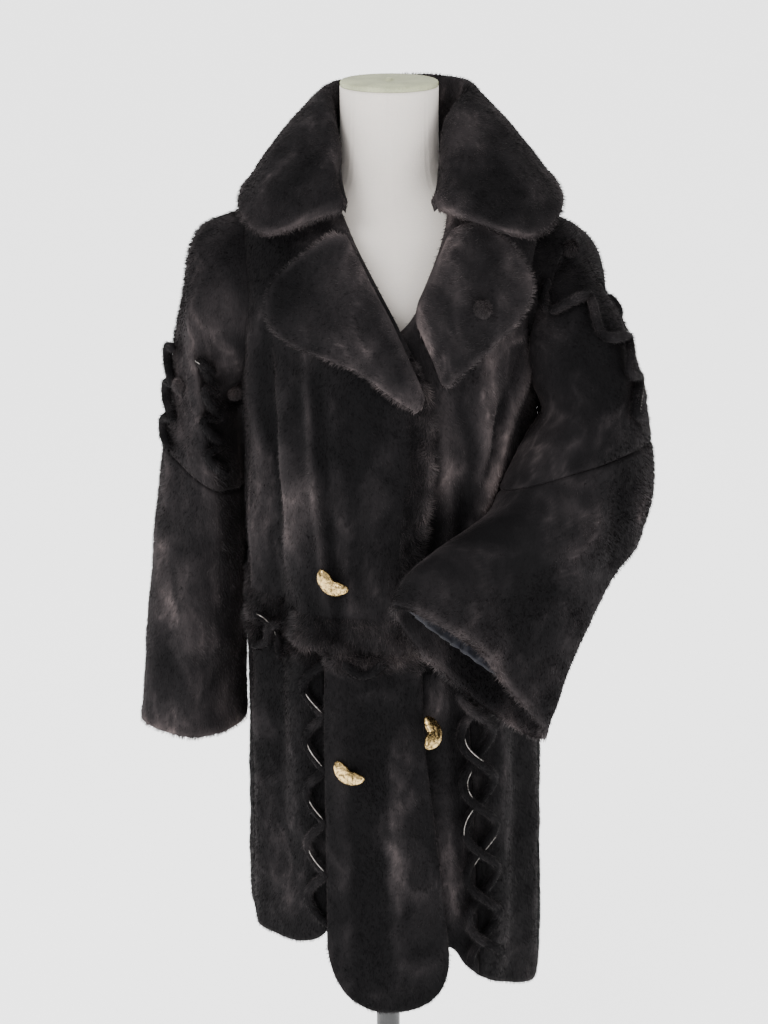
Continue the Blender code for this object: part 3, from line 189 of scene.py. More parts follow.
# ---- sleeves --------------------------------------------------------------------------
# Rings down each sleeve: a point on the outer line, a point on the inner line, half the
# depth across them, and how far the ring leans so that its far side runs on.
OUTER_LINE, INNER_LINE, HALF_DEPTH, LEAN = slice(0, 3), slice(3, 6), slice(6, 7), slice(7, 8)
SLEEVE_RIGHT = (
    (-0.1500, 0.000, 1.316, -0.1500, -0.002, 1.112, 0.072, 0.0),
    (-0.2220, 0.006, 1.290, -0.1860, 0.006, 1.086, 0.083, 0.0),
    (-0.2410, 0.010, 1.236, -0.1840, 0.010, 1.060, 0.086, 0.0),
    (-0.2560, 0.014, 1.170, -0.1835, 0.014, 1.035, 0.086, 0.0),
    (-0.2680, 0.020, 1.085, -0.1825, 0.020, 0.998, 0.085, 0.0),
    (-0.2830, 0.024, 1.000, -0.1815, 0.024, 0.945, 0.084, 0.0),
    (-0.2930, 0.024, 0.905, -0.1820, 0.024, 0.870, 0.086, 0.0),
    (-0.3080, 0.020, 0.775, -0.1845, 0.020, 0.762, 0.090, 0.0),
    (-0.3215, 0.014, 0.645, -0.1865, 0.014, 0.641, 0.094, 0.0),
)
SLEEVE_LEFT = (
    (0.1500, 0.000, 1.316, 0.1500, -0.002, 1.112, 0.072, 0.0),
    (0.2240, 0.004, 1.290, 0.1860, -0.022, 1.094, 0.083, 0.0),
    (0.2530, 0.002, 1.230, 0.1820, -0.070, 1.084, 0.083, 0.0),
    (0.2680, 0.000, 1.160, 0.1690, -0.118, 1.068, 0.080, 0.0),
    (0.2940, -0.010, 1.080, 0.1520, -0.158, 1.038, 0.072, 0.0),
    (0.3160, -0.035, 0.992, 0.1300, -0.190, 1.003, 0.062, 0.0),
    (0.3020, -0.080, 0.934, 0.0970, -0.216, 0.985, 0.055, 0.0),
    (0.2510, -0.136, 0.876, 0.0550, -0.240, 0.966, 0.050, 2.0),
    (0.2120, -0.187, 0.798, 0.0200, -0.254, 0.938, 0.050, 10.0),
    (0.1830, -0.222, 0.718, 0.0010, -0.258, 0.903, 0.049, 22.0),
)
SLEEVE_CUT_RIGHT = 4.75   # ring number of the seam between upper and lower sleeve
SLEEVE_CUT_LEFT = 4.55
SLEEVE_SEAM_ROWS = 0.007  # half the parting of the two pieces, in rings
ARMHOLE_INSET = 0.010     # how far the cutter goes on inside the body's wall
SLEEVE_REST_GAP = 0.0035  # least parting of a hanging sleeve and the body's folds
SLEEVE_REST_RINGS = (1.2, 1.9)   # rings between which a sleeve comes to rest on the body

# Folds along a sleeve: the angle round it at the first and last ring, the rings between
# which the fold lies, its width in degrees and its depth in metres.
SLEEVE_FOLDS_RIGHT = (
    (-95.0, -120.0, 1.5, 6.5, 16.0, 0.0060),
    (-58.0, -66.0, 2.0, 8.6, 18.0, -0.0055),
    (-20.0, -28.0, 4.0, 9.0, 20.0, 0.0045),
    (70.0, 62.0, 2.0, 8.5, 22.0, -0.0055),
    (120.0, 110.0, 2.5, 8.8, 18.0, 0.0050),
)
SLEEVE_FOLDS_LEFT = (
    (62.0, 104.0, 1.2, 5.0, 15.0, 0.0060),
    (95.0, 138.0, 1.4, 5.2, 15.0, -0.0060),
    (28.0, 40.0, 5.6, 9.4, 13.0, 0.0060),
    (4.0, 14.0, 6.0, 9.2, 12.0, -0.0050),
    (-60.0, -70.0, 2.0, 8.0, 20.0, 0.0050),
)
LINING_WALL = 0.0018
LINING_CLEARANCE = 0.0024
LINING_START = 7.3        # ring where the left cuff's satin comes into sight

# ---- fur cords ------------------------------------------------------------------------
CORD_RADIUS = 0.0058
LACING_REACH = 0.021      # how far a loop reaches from its seam
SCALLOP_POWER = 1.1       # 1 gives a plain arch, more rounds the foot of each loop
LOOP_LENGTH = 0.066

RIGHT_LACING_HEIGHTS = (0.806, 0.448)
LEFT_LACING_HEIGHTS = (0.770, 0.392)
LEFT_LACING_LOOPS = 6.0
WAIST_REACH = 0.017
# Cords under the waist seam: name, first and last angle, loops, lift of the panel below.
WAIST_CORDS = (
    ("waist_cord_centre", -13.5, -1.5, 1, OVERLAP_LIFT),
    ("waist_cord_left", 44.0, 84.0, 2, 0.0),
    ("waist_cord_back", 96.0, 234.0, 5, 0.0),
)
WAIST_CROSSING_ANGLES = (-58.0, -38.0)
WAIST_CROSSING_REACH = 0.020
SLEEVE_CORD_PUFF = 0.0020  # how far a sleeve loop stands up at its middle
# Cords down the sleeves: name, sleeve, angle at the top and bottom, first and last ring,
# loops, and how many degrees a loop reaches.
SLEEVE_CORDS = (
    ("sleeve_cord_right_front", "right", -122.0, -128.0, 1.15, 4.35, 4, 22.0),
    ("sleeve_cord_right_outer", "right", -46.0, -46.0, 2.90, 4.60, 3, 16.0),
    ("sleeve_cord_left_front", "left", 66.0, 60.0, 1.50, 4.20, 4, 20.0),
    ("sleeve_cord_left_outer", "left", -4.0, -4.0, 2.40, 4.30, 3, 16.0),
)
CORD_SIDES = 12
CORD_POINTS = 18          # points along each loop
LEFT_REACH_SHARE = 0.85   # reach of the crossed lacing, as a share of the plain one's
CORD_END_LEAST = 0.03     # share of a cord's radius at the very tip of its rounded end
# Cut edges: cord, first and last loop number, and the side of the cord that they lie on.
HIDE_EDGES = (
    ("skirt_lacing_right", 0.62, 0.99, 1.0), ("skirt_lacing_right", 1.60, 1.98, 1.0),
    ("skirt_lacing_right", 2.62, 2.99, 1.0), ("skirt_lacing_right", 3.60, 3.97, 1.0),
    ("skirt_lacing_left_a", 0.95, 1.50, 1.0), ("skirt_lacing_left_a", 2.55, 3.05, -1.0),
    ("skirt_lacing_left_b", 1.70, 2.25, 1.0), ("skirt_lacing_left_b", 3.20, 3.75, 1.0),
    ("waist_crossing_a", 0.15, 0.60, 1.0), ("sleeve_cord_right_front", 0.10, 0.62, -1.0),
    ("sleeve_cord_left_front", 3.00, 3.60, 1.0), ("sleeve_cord_left_outer", 2.10, 2.60, -1.0),
)
HIDE_ASIDE, HIDE_OUT = 0.75, 0.85   # where a cut edge lies on its cord, in radii
# Round tufts where a cord is knotted: the fur that they sit on, by its group and number,
# then x, height and radius.
KNOTS = (
    ("sleeve_right", 0, -0.1850, 1.086, 0.0100), ("collar", 2, 0.1085, 1.234, 0.0085),
    ("sleeve_left", 0, 0.2180, 1.272, 0.0095), ("sleeve_right", 0, -0.2560, 1.110, 0.0085),
)
KNOT_SINK = 0.35          # share of a knot's radius that is sunk in the fur
KNOT_REACH = 0.006        # how near a knot's place the fur under it is looked for

# ---- buttons --------------------------------------------------------------------------
BUTTON_LENGTH = 0.041
BUTTON_WIDTH = 0.022
BUTTON_THICKNESS = 0.012
BUTTON_BEND = 0.34        # how far the ends bend up, as a share of the width
BUTTON_STANDOFF = 0.0008
BUTTON_NOTCH = 0.0022     # depth of the hollow in the bean's inner side
# Buttons: x, height, turn of the long axis from level, tips about that axis and across it.
BUTTONS = (
    (-0.0640, 0.907, -33.0, 8.0, 0.0),
    (-0.0480, 0.666, -33.0, 8.0, 0.0),
    (0.0490, 0.726, 84.0, 20.0, 40.0),
)

# ---- dress form: height, half-width, front depth, back depth, shift to the side ---------
FORM_ROWS = (
    (0.7003, 0.145, 0.098, 0.100, 0.0),
    (0.7120, 0.162, 0.112, 0.118, 0.0),
    (0.7800, 0.168, 0.120, 0.125, 0.0),
    (0.8600, 0.155, 0.112, 0.112, 0.0),
    (0.9600, 0.128, 0.100, 0.090, 0.0),
    (1.0600, 0.138, 0.120, 0.095, 0.0),
    (1.1500, 0.150, 0.136, 0.100, 0.0),
    (1.2200, 0.152, 0.126, 0.102, 0.0),
    (1.2650, 0.151, 0.107, 0.098, 0.0),
    (1.2950, 0.138, 0.091, 0.088, 0.0),
    (1.3180, 0.106, 0.076, 0.076, 0.0),
    (1.3350, 0.076, 0.065, 0.066, 0.0),
    (1.3550, 0.062, 0.059, 0.060, 0.0),
    (1.4000, 0.058, 0.057, 0.057, 0.0),
    (1.4545, 0.0575, 0.0575, 0.0575, 0.0),
)
FORM_POWER = 2.0
FORM_INSET = 0.0004       # how far the cover lies inside the solid's face
FORM_SEAMS = (0.0, 48.0, 90.0, 132.0, 180.0, 228.0, 270.0, 312.0)   # angles of its seams
FORM_SEAM_RIDGE = (0.0008, 0.0032)   # height and half-width of the cloth raised by a seam
FORM_SEAM_LINE = (0.0016, 0.0012)    # depth and half-width of the sewn line in it

CAP_RADIUS = 0.0572
CAP_TOP = 1.4610
CAP_ROUND = 0.0020
METAL_GAP = 0.0003

# ---- studio ---------------------------------------------------------------------------
# Lights: name, place, what they point at, and size.
LIGHTS = (
    ("key", (-1.7, -2.3, 2.9), (0.0, 0.0, 1.0), 1.6),
    ("fill", (2.4, -2.0, 1.6), (0.0, 0.0, 0.9), 2.2),
    ("top", (0.0, 0.4, 3.6), (0.0, 0.0, 1.0), 2.0),
)
CAMERA_PLACE = (-0.006, -2.3, 1.79)
CAMERA_DIP = 20.6         # how far the camera looks down from level, in degrees
FOCAL_PIXELS = 1955.0     # focal length in pixels of the photograph
PHOTO_HEIGHT = 1024.0     # the photograph's height in pixels
SENSOR_HEIGHT = 24.0      # in millimetres

# ---- finer shape and fur, scene only ---------------------------------------------------
FUR_STAND = 0.0008        # how far the shells lie below the coat's outer face, for the pile
EDGE_ROUND = 0.0065       # how far in from a free edge the wall begins to round over
SEAM_ROUND = 0.0040       # and from a sewn edge, which only dips
SEAM_SHARE = 0.62         # share of the wall left at a sewn edge
SHEEN_TINT = (0.80, 0.66, 0.66, 1.0)   # the faint reddish gloss of the pile
BLADE_SINK = 0.0010       # how far a blade's root lies under the shell
PALETTE_STEPS = 7         # tones of pile from 0, the darkest, to this one

# Creases on the two fronts: x and height at the top, middle and bottom, width and depth.
CREASES = (
    (-0.093, 1.150, -0.087, 1.050, -0.070, 0.880, 0.0058, 0.0066),
    (-0.080, 1.150, -0.074, 1.050, -0.057, 0.880, 0.0070, -0.0062),
    (-0.159, 1.195, -0.163, 1.110, -0.145, 0.985, 0.0095, 0.0058),
    (-0.143, 1.180, -0.146, 1.100, -0.128, 0.970, 0.0090, -0.0056),
    (-0.124, 1.120, -0.124, 1.020, -0.115, 0.900, 0.0110, 0.0046),
    (-0.112, 0.800, -0.124, 0.640, -0.136, 0.450, 0.0150, 0.0040),
    (-0.060, 0.770, -0.055, 0.580, -0.050, 0.400, 0.0130, 0.0040),
    (-0.020, 0.740, -0.012, 0.560, -0.004, 0.380, 0.0140, -0.0042),
    (0.007, 0.700, 0.012, 0.540, 0.015, 0.390, 0.0110, 0.0040),
    (0.166, 1.150, 0.142, 1.090, 0.110, 0.990, 0.0090, 0.0074),
    (0.148, 1.140, 0.125, 1.080, 0.095, 0.985, 0.0085, -0.0066),
    (0.172, 1.070, 0.160, 1.030, 0.135, 0.990, 0.0080, 0.0060),
    (0.106, 1.095, 0.112, 1.060, 0.102, 1.000, 0.0075, 0.0056),
    (0.090, 1.090, 0.094, 1.050, 0.083, 0.980, 0.0070, -0.0050),
    (0.060, 1.100, 0.066, 1.040, 0.074, 0.950, 0.0090, 0.0046),
    (-0.045, 1.130, -0.040, 1.040, -0.034, 0.900, 0.0120, -0.0036),
    (0.135, 0.800, 0.150, 0.620, 0.152, 0.400, 0.0130, 0.0040),
    (0.060, 0.790, 0.070, 0.640, 0.078, 0.450, 0.0110, 0.0036),
)
CREASE_FADE = 0.05        # height over which a crease comes and goes
ARMHOLE_ROW = 4.0 * (SLEEVE_CUT_RIGHT - SLEEVE_SEAM_ROWS) / 7.0   # the armhole's last ring
ARMHOLE_LAP = 0.0045      # how far the armhole's edge reaches into the sleeve's wall
# Painted light on the pile: how much paler it is painted on the high parts of a step of relief,
# a crease and a soft fold and darker in their low parts, and how much paler along a rim as a
# painted highlight.
RELIEF_PAINTED_LIGHT, CREASE_PAINTED_LIGHT, FOLD_PAINTED_LIGHT, RIM_PAINTED_HIGHLIGHT = 240.0, 165.0, 90.0, 2.3
# Painted highlight and shade on the sleeves' folds and on the lumps, and how much paler the tufts
# are.
SLEEVE_FOLD_PAINTED_LIGHT, LUMP_PAINTED_LIGHT, RUFF_TONE = 330.0, 260.0, 1.5
# The pile's tone: its usual one, then what brushed patches and their palest parts, partly the
# pile's own uneven tone and partly painted sheen, and fine streaks of painted highlight add to
# it, and the sizes of the patches, the streaks and the noise that bends them.
USUAL_TONE, PATCH_TONE, PALEST_TONE, STREAK_PAINTED_HIGHLIGHT = 1.25, 1.65, 0.5, 1.9
PATCH_SIZE, STREAK_SIZE, BEND_SIZE = 0.062, 0.019, 0.070
STREAK_SHARPNESS = 1.9
DOWN = (0.0, 0.0, -1.0)   # the way the pile lies on the body
# Points of the fine grids: round or along first, then down; the collar's stand and fall.
SLEEVE_GRID, LINING_GRID, LAPEL_GRID, FORM_GRID = (110, 62), (200, 30), (56, 34), (144, 110)
COLLAR_GRID = (120, 22, 30)
# How a blade strays: by noise and by chance round the skin's normal, and its extra twist in a
# tuft, in radians; the same three for its lean, in degrees; its roll by chance, in radians.
SWIRL, STRAY_TURN, TUFT_TWIST = 0.75, 0.30, 2.4
LEAN_WAVE, STRAY_LEAN, TUFT_STAND = 9.0, 8.0, 30.0
STRAY_ROLL = 0.8
HIDDEN = -99.0            # tone of pile that is left out
TUFT_ROWS = 6             # rows and columns of a panel whose pile is tufted
TUFT_COLUMNS = 6
CUFF_ROWS = 10            # rows of a cuff's grid that are turned in with fur
SLEEVE_REST_PUSH = 0.0030  # how far a hanging sleeve's fur fills the gap to the body
CUFF_OPENS = (-0.25, -0.80, 0.55)   # the side where the left cuff's rim is drawn back
CUFF_DRAW = 0.34          # and how far, in rings
LINING_END = 8.46         # ring where the left cuff's satin meets the turned-in fur
RUCHES = 34               # gathers round the cuff's lining
LUMPS = ((0.070, 1.0), (0.024, 0.4))   # size of the fur's lumps, and share of their depth

# Half-widths of the bands of tufts that stand up along the waist seam and a free edge.
WAIST_TUFT_BAND = 0.017
WAIST_TUFT_DROP = 0.004          # how far below the seam the tufts are thickest
EDGE_TUFT_BAND = 0.011
EDGE_PAINTED_HIGHLIGHT = 1.1                  # painted highlight: how much paler the pile is along a free edge
EDGE_TUFT_END = (1.13, 1.18)     # the tufted edge fades out between these heights
TUFT_SIZE = 0.013         # distance from one tuft to the next
RIM_WIDTH = 0.010         # width of the plump roll along a free edge, painted paler as a highlight
ROLL_DEPTH = 0.0020       # and how far it stands out


# ======================================================================================
# Reading tables and making surfaces
# ======================================================================================

def curve_piece(start, end, slope_in, slope_out, part):
    """A cubic piece between two values with the given slopes at its ends."""
    square = part * part
    cube = square * part
    return (start * (2.0 * cube - 3.0 * square + 1.0) + end * (3.0 * square - 2.0 * cube)
            + slope_in * (cube - 2.0 * square + part) + slope_out * (cube - square))


def read_rows(rows, place):
    """Every column of a table at fractional row numbers, on a smooth curve through its rows."""
    values = np.asarray(rows, dtype=float)
    place = np.clip(np.asarray(place, dtype=float), 0.0, len(values) - 1.0)
    low = np.minimum(place.astype(int), len(values) - 2)
    start = values[low]
    end = values[low + 1]
    slope_in = (end - values[np.maximum(low - 1, 0)]) / 2.0
    slope_out = (values[np.minimum(low + 2, len(values) - 1)] - start) / 2.0
    return curve_piece(start, end, slope_in, slope_out, (place - low)[..., None])


def through_points(points, place):
    """Places on a smooth curve through control points, each of them an array of points."""
    last = len(points) - 1
    result = np.zeros(np.broadcast(points[0], place[..., None]).shape)
    for index in range(last):
        start = points[index]
        end = points[index + 1]
        slope_in = (end - points[max(index - 1, 0)]) / 2.0
        slope_out = (points[min(index + 2, last)] - start) / 2.0
        part = np.clip(place - index, 0.0, 1.0)[..., None]
        piece = curve_piece(start, end, slope_in, slope_out, part)
        result = np.where((place >= index)[..., None], piece, result)
    return result


def row_where(rows, value):
    """The fractional row number at which a table's first, rising column has a value."""
    places = np.linspace(0.0, len(rows) - 1.0, 40 * len(rows))
    return np.interp(value, read_rows(rows, places)[:, 0], places)


def ease(value, low, high):
    """0 at or below low, 1 at or above high, smooth between."""
    part = np.clip((np.asarray(value, dtype=float) - low) / (high - low), 0.0, 1.0)
    return part * part * (3.0 - 2.0 * part)


def bell(distance, width):
    """1 in the middle, falling away on both sides as a bell curve of a half-width."""
    return np.exp(-(distance / width) ** 2)


def wrapped(angle):
    """An angle in degrees brought between -180 and 180."""
    return (angle + 180.0) % 360.0 - 180.0


def full_turn(count, whole=360.0):
    """Even steps once round a ring, from 0 to just under the whole."""
    return np.linspace(0.0, whole, count, endpoint=False)


def crossed(along, down):
    """A grid's two values at every point: one changes along its rows, one down them."""
    return np.broadcast_arrays(along[None, :], down[:, None])


def signed_power(value, power):
    """A power that keeps the value's sign."""
    return np.sign(value) * np.abs(value) ** power


def oval_points(rows, angle, row, power):
    """Points on a stack of oval sections; angle 0 is the front, + towards +X."""
    values = read_rows(rows, row)
    sine = np.sin(np.radians(angle))
    cosine = np.cos(np.radians(angle))
    depth = np.where(cosine > 0.0, values[..., FRONT_DEPTH], values[..., BACK_DEPTH])
    x = values[..., SIDE_SHIFT] + values[..., HALF_WIDTH] * signed_power(sine, 2.0 / power)
    y = -depth * signed_power(cosine, 2.0 / power)
    return np.stack([x, y, values[..., HEIGHT]], axis=-1)


def moved_out(surface, first, second, distance, steps=ANGLE_STEPS):
    """Points of surface(first, second) moved along its normal by a distance."""
    across = surface(first + steps[0], second) - surface(first - steps[0], second)
    along = surface(first, second + steps[1]) - surface(first, second - steps[1])
    normal = unit(np.cross(across, along))
    return surface(first, second) + normal * np.asarray(distance)[..., None]


def unit(vectors):
    """Vectors scaled to a length of one."""
    return vectors / np.maximum(np.linalg.norm(vectors, axis=-1, keepdims=True), 1e-9)


def fold_push(angle, height):
    """How far the folds push the body's surface out at an angle and a height."""
    total = np.zeros(np.broadcast(angle, height).shape)
    for angle_top, angle_low, low, high, width, depth in FOLDS:
        share = np.clip((height - low) / (high - low), 0.0, 1.0)
        centre = angle_low + (angle_top - angle_low) * share
        away = wrapped(angle - centre)
        fade = ease(height, low, low + FOLD_FADE) * (1.0 - ease(height, high - FOLD_FADE, high))
        total = total + depth * bell(away, width) * fade
    return total


def body_surface(angle, row):
    """The coat's outer surface before any overlap, folds included."""
    points = oval_points(BODY_ROWS, angle, row, BODY_POWER)
    push = fold_push(angle, points[..., 2])
    outward = np.stack([np.sin(np.radians(angle)), -np.cos(np.radians(angle)),
                        np.zeros_like(push)], axis=-1)
    return points + outward * push[..., None]


def body_skin(angle, row, lift):
    """The coat's surface moved outward by a lift."""
    return moved_out(body_surface, angle, row, lift)


def height_at(row):
    """The height of a body row."""
    return read_rows(BODY_ROWS, row)[..., HEIGHT]


def angle_at(x, row):
    """The angle on the front half of the body at which a section has the given x."""
    values = read_rows(BODY_ROWS, row)
    share = np.clip((x - values[..., SIDE_SHIFT]) / values[..., HALF_WIDTH], -1.0, 1.0)
    return np.degrees(np.arcsin(signed_power(share, BODY_POWER / 2.0)))


def x_at(angle, row):
    """The x of a section at an angle on the front half of the body."""
    values = read_rows(BODY_ROWS, row)
    sine = np.sin(np.radians(angle))
    return (values[..., SIDE_SHIFT]
            + values[..., HALF_WIDTH] * signed_power(sine, 2.0 / BODY_POWER))


def read_curve(table, value):
    """The second column of a table where its first, rising column has a value."""
    return read_rows(table, row_where(table, value))[..., 1]


def overlap_lift(x, height):
    """How far the lapping front stands off: it rises past its fold, dies out at the neck."""
    rise = ease(x, OVERLAP_START, OVERLAP_FULL)
    return OVERLAP_LIFT * rise * (1.0 - ease(height, *OVERLAP_FADE))


def no_lift(x, height):
    """The lift of a panel that doesn't lap over another."""
    return np.zeros(np.broadcast(x, height).shape)


def full_lift(x, height):
    """The lift of the lapping skirt panel, raised over its whole width."""
    return np.full(np.broadcast(x, height).shape, OVERLAP_LIFT)


def side_seam(turn, side):
    """A rim at a side seam: turn is the seam's angle, side the way the panel lies from it."""
    back_off = np.degrees((SEAM_GAP / 2.0 / SIDE_DEPTH) ** (BODY_POWER / 2.0))

    def rim(row):
        return turn + side * back_off + np.zeros_like(row)
    return rim


def free_rim(table):
    """A rim along a free front edge, given by a table of heights and x."""
    def rim(row):
        return angle_at(read_curve(table, height_at(row)), row)
    return rim


def seam_rim(top_x, low_x, side):
    """A rim along a skirt seam that runs from top_x at the waist to low_x at the hem."""
    def rim(row):
        share = np.clip((WAIST_HEIGHT - height_at(row)) / SKIRT_LENGTH, 0.0, 1.0)
        return angle_at(top_x + (low_x - top_x) * share + side * SEAM_GAP / 2.0, row)
    return rim


def hem_line(table):
    """The body row of a panel's hem, from a table of shares and heights."""
    def line(share):
        return row_where(BODY_ROWS, read_curve(table, share))
    return line


def level_line(height):
    """A level rim: the same body row all along."""
    def line(share):
        return row_where(BODY_ROWS, height) + np.zeros_like(share)
    return line


def collar_surface(around, across):
    """The middle of the collar: up the stand, over the roll and down the fall.

    across runs from 0 at the neck seam to 5 at the outer edge.
    """
    values = read_rows(COLLAR_ROWS, row_where(COLLAR_ROWS, around))
    seam = values[..., NECK_SEAM]
    roll = values[..., ROLL_LINE]
    edge = values[..., OUTER_EDGE]
    reach = edge - roll
    length = np.linalg.norm(reach, axis=-1, keepdims=True)
    width = np.minimum(COLLAR_ROLL_WIDTH, COLLAR_ROLL_SHARE * length)
    belly = np.minimum(COLLAR_BELLY, COLLAR_BELLY_SHARE * length)
    bow = np.concatenate([-reach[..., 1:], reach[..., :1]], axis=-1) / length
    points = (seam, seam + (roll - seam) * COLLAR_STAND_PLACE,
              roll - width * np.array((0.0, 1.0)),
              roll + width * np.array((1.0, 0.0)),
              roll + reach * COLLAR_BELLY_PLACE + bow * belly, edge)
    place = through_points(points, across)
    turn = np.radians(around)
    return np.stack([-place[..., 0] * np.sin(turn), -place[..., 0] * np.cos(turn),
                     place[..., 1]], axis=-1)


def lapel_surface(table, lift):
    """A lapel's outer surface: its outline on a flatter oval than the body's own."""
    def surface(place, share):
        values = read_rows(table, place)
        x = values[..., ROLL_X] * (1.0 - share) + values[..., OUTER_X] * share
        z = values[..., ROLL_Z] * (1.0 - share) + values[..., OUTER_Z] * share
        front = read_rows(BODY_ROWS, row_where(BODY_ROWS, z))[..., FRONT_DEPTH]
        flat = (1.0 - np.abs(x / LAPEL_FLATNESS) ** BODY_POWER) ** (1.0 / BODY_POWER)
        puff = LAPEL_PUFF * np.sin(np.pi * np.clip(share, 0.0, 1.0) ** LAPEL_PUFF_POWER)
        return np.stack([x, -(front + lift + puff) * flat, z], axis=-1)
    return surface


def sleeve_frame(table, row):
    """Centre, half-length to the outer line and half-depth across it, at fractional rows."""
    def centre_at(place):
        values = read_rows(table, place)
        return (values[..., OUTER_LINE] + values[..., INNER_LINE]) / 2.0
    values = read_rows(table, row)
    half = (values[..., OUTER_LINE] - values[..., INNER_LINE]) / 2.0
    along = unit(centre_at(row + 0.5) - centre_at(row - 0.5))
    depth = values[..., HALF_DEPTH]
    lean = np.radians(values[..., LEAN])
    side = unit(np.cross(along, half)) * depth * np.cos(lean) - along * depth * np.sin(lean)
    return centre_at(row), half, side


def rested(points, share):
    """Points moved straight out from the body's middle where they'd lie in its folds.

    share is how much of the move is made: 0 in the armhole, 1 below it.
    """
    values = read_rows(BODY_ROWS, row_where(BODY_ROWS, points[..., 2]))
    side = points[..., 0] - values[..., SIDE_SHIFT]
    front = -points[..., 1]
    depth = np.where(front > 0.0, values[..., FRONT_DEPTH], values[..., BACK_DEPTH])
    x_part = side / values[..., HALF_WIDTH]
    y_part = front / depth
    size = (np.abs(x_part) ** BODY_POWER + np.abs(y_part) ** BODY_POWER) ** (1.0 / BODY_POWER)
    angle = np.degrees(np.arctan2(signed_power(x_part / size, BODY_POWER / 2.0),
                                  signed_power(y_part / size, BODY_POWER / 2.0)))
    radius = np.hypot(side, front)
    least = radius / size + fold_push(angle, points[..., 2]) + SLEEVE_REST_GAP
    move = share * np.maximum(least - radius, 0.0) / radius
    return points + np.stack([side, -front, np.zeros_like(side)], axis=-1) * move[..., None]


def sleeve_surface(table, folds):
    """A sleeve's outer surface by angle (0 on its outer line) and row."""
    def surface(angle, row):
        centre, half, side = sleeve_frame(table, row)
        cosine = np.cos(np.radians(angle))[..., None]
        sine = np.sin(np.radians(angle))[..., None]
        push = np.zeros(np.broadcast(angle, row).shape)
        for angle_top, angle_low, first, last, width, depth in folds:
            share = np.clip((row - first) / (last - first), 0.0, 1.0)
            away = wrapped(angle - angle_top - (angle_low - angle_top) * share)
            fade = ease(row, first, first + 1.0) * (1.0 - ease(row, last - 1.0, last))
            push = push + depth * bell(away, width) * fade
        outward = unit(half) * cosine + unit(side) * sine
        points = centre + half * cosine + side * sine + outward * push[..., None]
        return rested(points, ease(row, *SLEEVE_REST_RINGS))
    return surface


def scallop(share):
    """0 at whole numbers and 1 halfway between them."""
    return np.abs(np.sin(np.pi * share)) ** SCALLOP_POWER


# ======================================================================================
# Noise, meshes and walls
# ======================================================================================

def lattice(points, size, seed):
    """Smooth noise from -1 to 1: random corner values of a cubic lattice, blended."""
    place = np.asarray(points, dtype=float) / size + seed * 17.31
    base = np.floor(place).astype(np.int64)
    part = place - base
    part = part * part * (3.0 - 2.0 * part)
    total = np.zeros(place.shape[:-1])
    for corner in range(8):
        step = np.array((corner & 1, corner >> 1 & 1, corner >> 2 & 1))
        key = base + step
        code = (key[..., 0] * 73856093) ^ (key[..., 1] * 19349663) ^ (key[..., 2] * 83492791)
        code = (code ^ (code >> 13)) * 1274126177 & 0x7FFFFFFF
        code = (code ^ (code >> 15)) * 668265263 & 0x7FFFFFFF
        value = (code & 0xFFFF) / 32767.5 - 1.0
        weight = np.prod(np.where(step == 1, part, 1.0 - part), axis=-1)
        total += value * weight
    return total


def cloudy(points, size, octaves=3, seed=1):
    """Sum of smooth noises, each half as large and three fifths as strong as the last."""
    total = 0.0
    share = 1.0
    for octave in range(octaves):
        total = total + share * lattice(points, size / 2.0 ** octave, seed + octave)
        share *= 0.6
    return total


def build_mesh(name, points, faces, materials, slots=None, uv=None, smooth=True, tone=None):
    """A mesh object from whole arrays of points and equal-sided faces."""
    mesh = bpy.data.meshes.new(name)
    points = np.ascontiguousarray(points, dtype=np.float32).reshape(-1, 3)
    faces = np.ascontiguousarray(faces, dtype=np.int32)
    count, sides = faces.shape
    mesh.vertices.add(len(points))
    mesh.vertices.foreach_set("co", points.ravel())
    mesh.loops.add(count * sides)
    mesh.loops.foreach_set("vertex_index", faces.ravel())
    mesh.polygons.add(count)
    mesh.polygons.foreach_set("loop_start", np.arange(0, count * sides, sides, dtype=np.int32))
    for material in materials:
        mesh.materials.append(material)
    if slots is not None:
        mesh.polygons.foreach_set("material_index", np.asarray(slots, dtype=np.int32))
    if uv is not None:
        layer = mesh.uv_layers.new(name="OFBake")
        layer.uv.foreach_set("vector", np.ascontiguousarray(uv, dtype=np.float32).ravel())
    if tone is not None:
        shade = mesh.attributes.new("pile_tone", "FLOAT", "POINT")
        shade.data.foreach_set("value", np.ascontiguousarray(tone, dtype=np.float32).ravel())
    mesh.update(calc_edges=True)
    mesh.validate(verbose=False)
    if smooth:
        mesh.shade_smooth()
    else:
        mesh.shade_flat()
    thing = bpy.data.objects.new(name, mesh)
    bpy.context.scene.collection.objects.link(thing)
    return thing


def piece(thing, slot, *nodes):
    """Let a piece ride with the stand and hide the solids that it stands for; its finish slot is
    not used.
    """
    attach(thing, "root")
    if nodes:
        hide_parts(*nodes)
    return thing


def joined(grid, closed):
    """A grid with its first column once more after its last one where it goes all round."""
    return np.concatenate([grid, grid[:, :1]], axis=1) if closed else grid


def corners_of(grid):
    """The four corners of every cell of a grid, in order round it."""
    return grid[:-1, :-1], grid[:-1, 1:], grid[1:, 1:], grid[1:, :-1]


def doubled_areas(grid):
    """Twice the area of every cell of a grid: the cross of the cell's two diagonals."""
    first, second, third, fourth = corners_of(grid)
    return np.linalg.norm(np.cross(third - first, fourth - second), axis=-1)


def facing_out(points, faces, uvs):
    """A closed mesh whose faces are turned outward, if its signed volume is below 0."""
    if volume_of(points, faces) < 0.0:
        return points, faces[:, ::-1], uvs[:, ::-1]
    return points, faces, uvs


def quads_of(rows, columns, closed):
    """Corner numbers of every face of a grid; closed joins its last column to its first."""
    index = joined(np.arange(rows * columns).reshape(rows, columns), closed)
    return np.stack(corners_of(index), axis=-1).reshape(-1, 4)


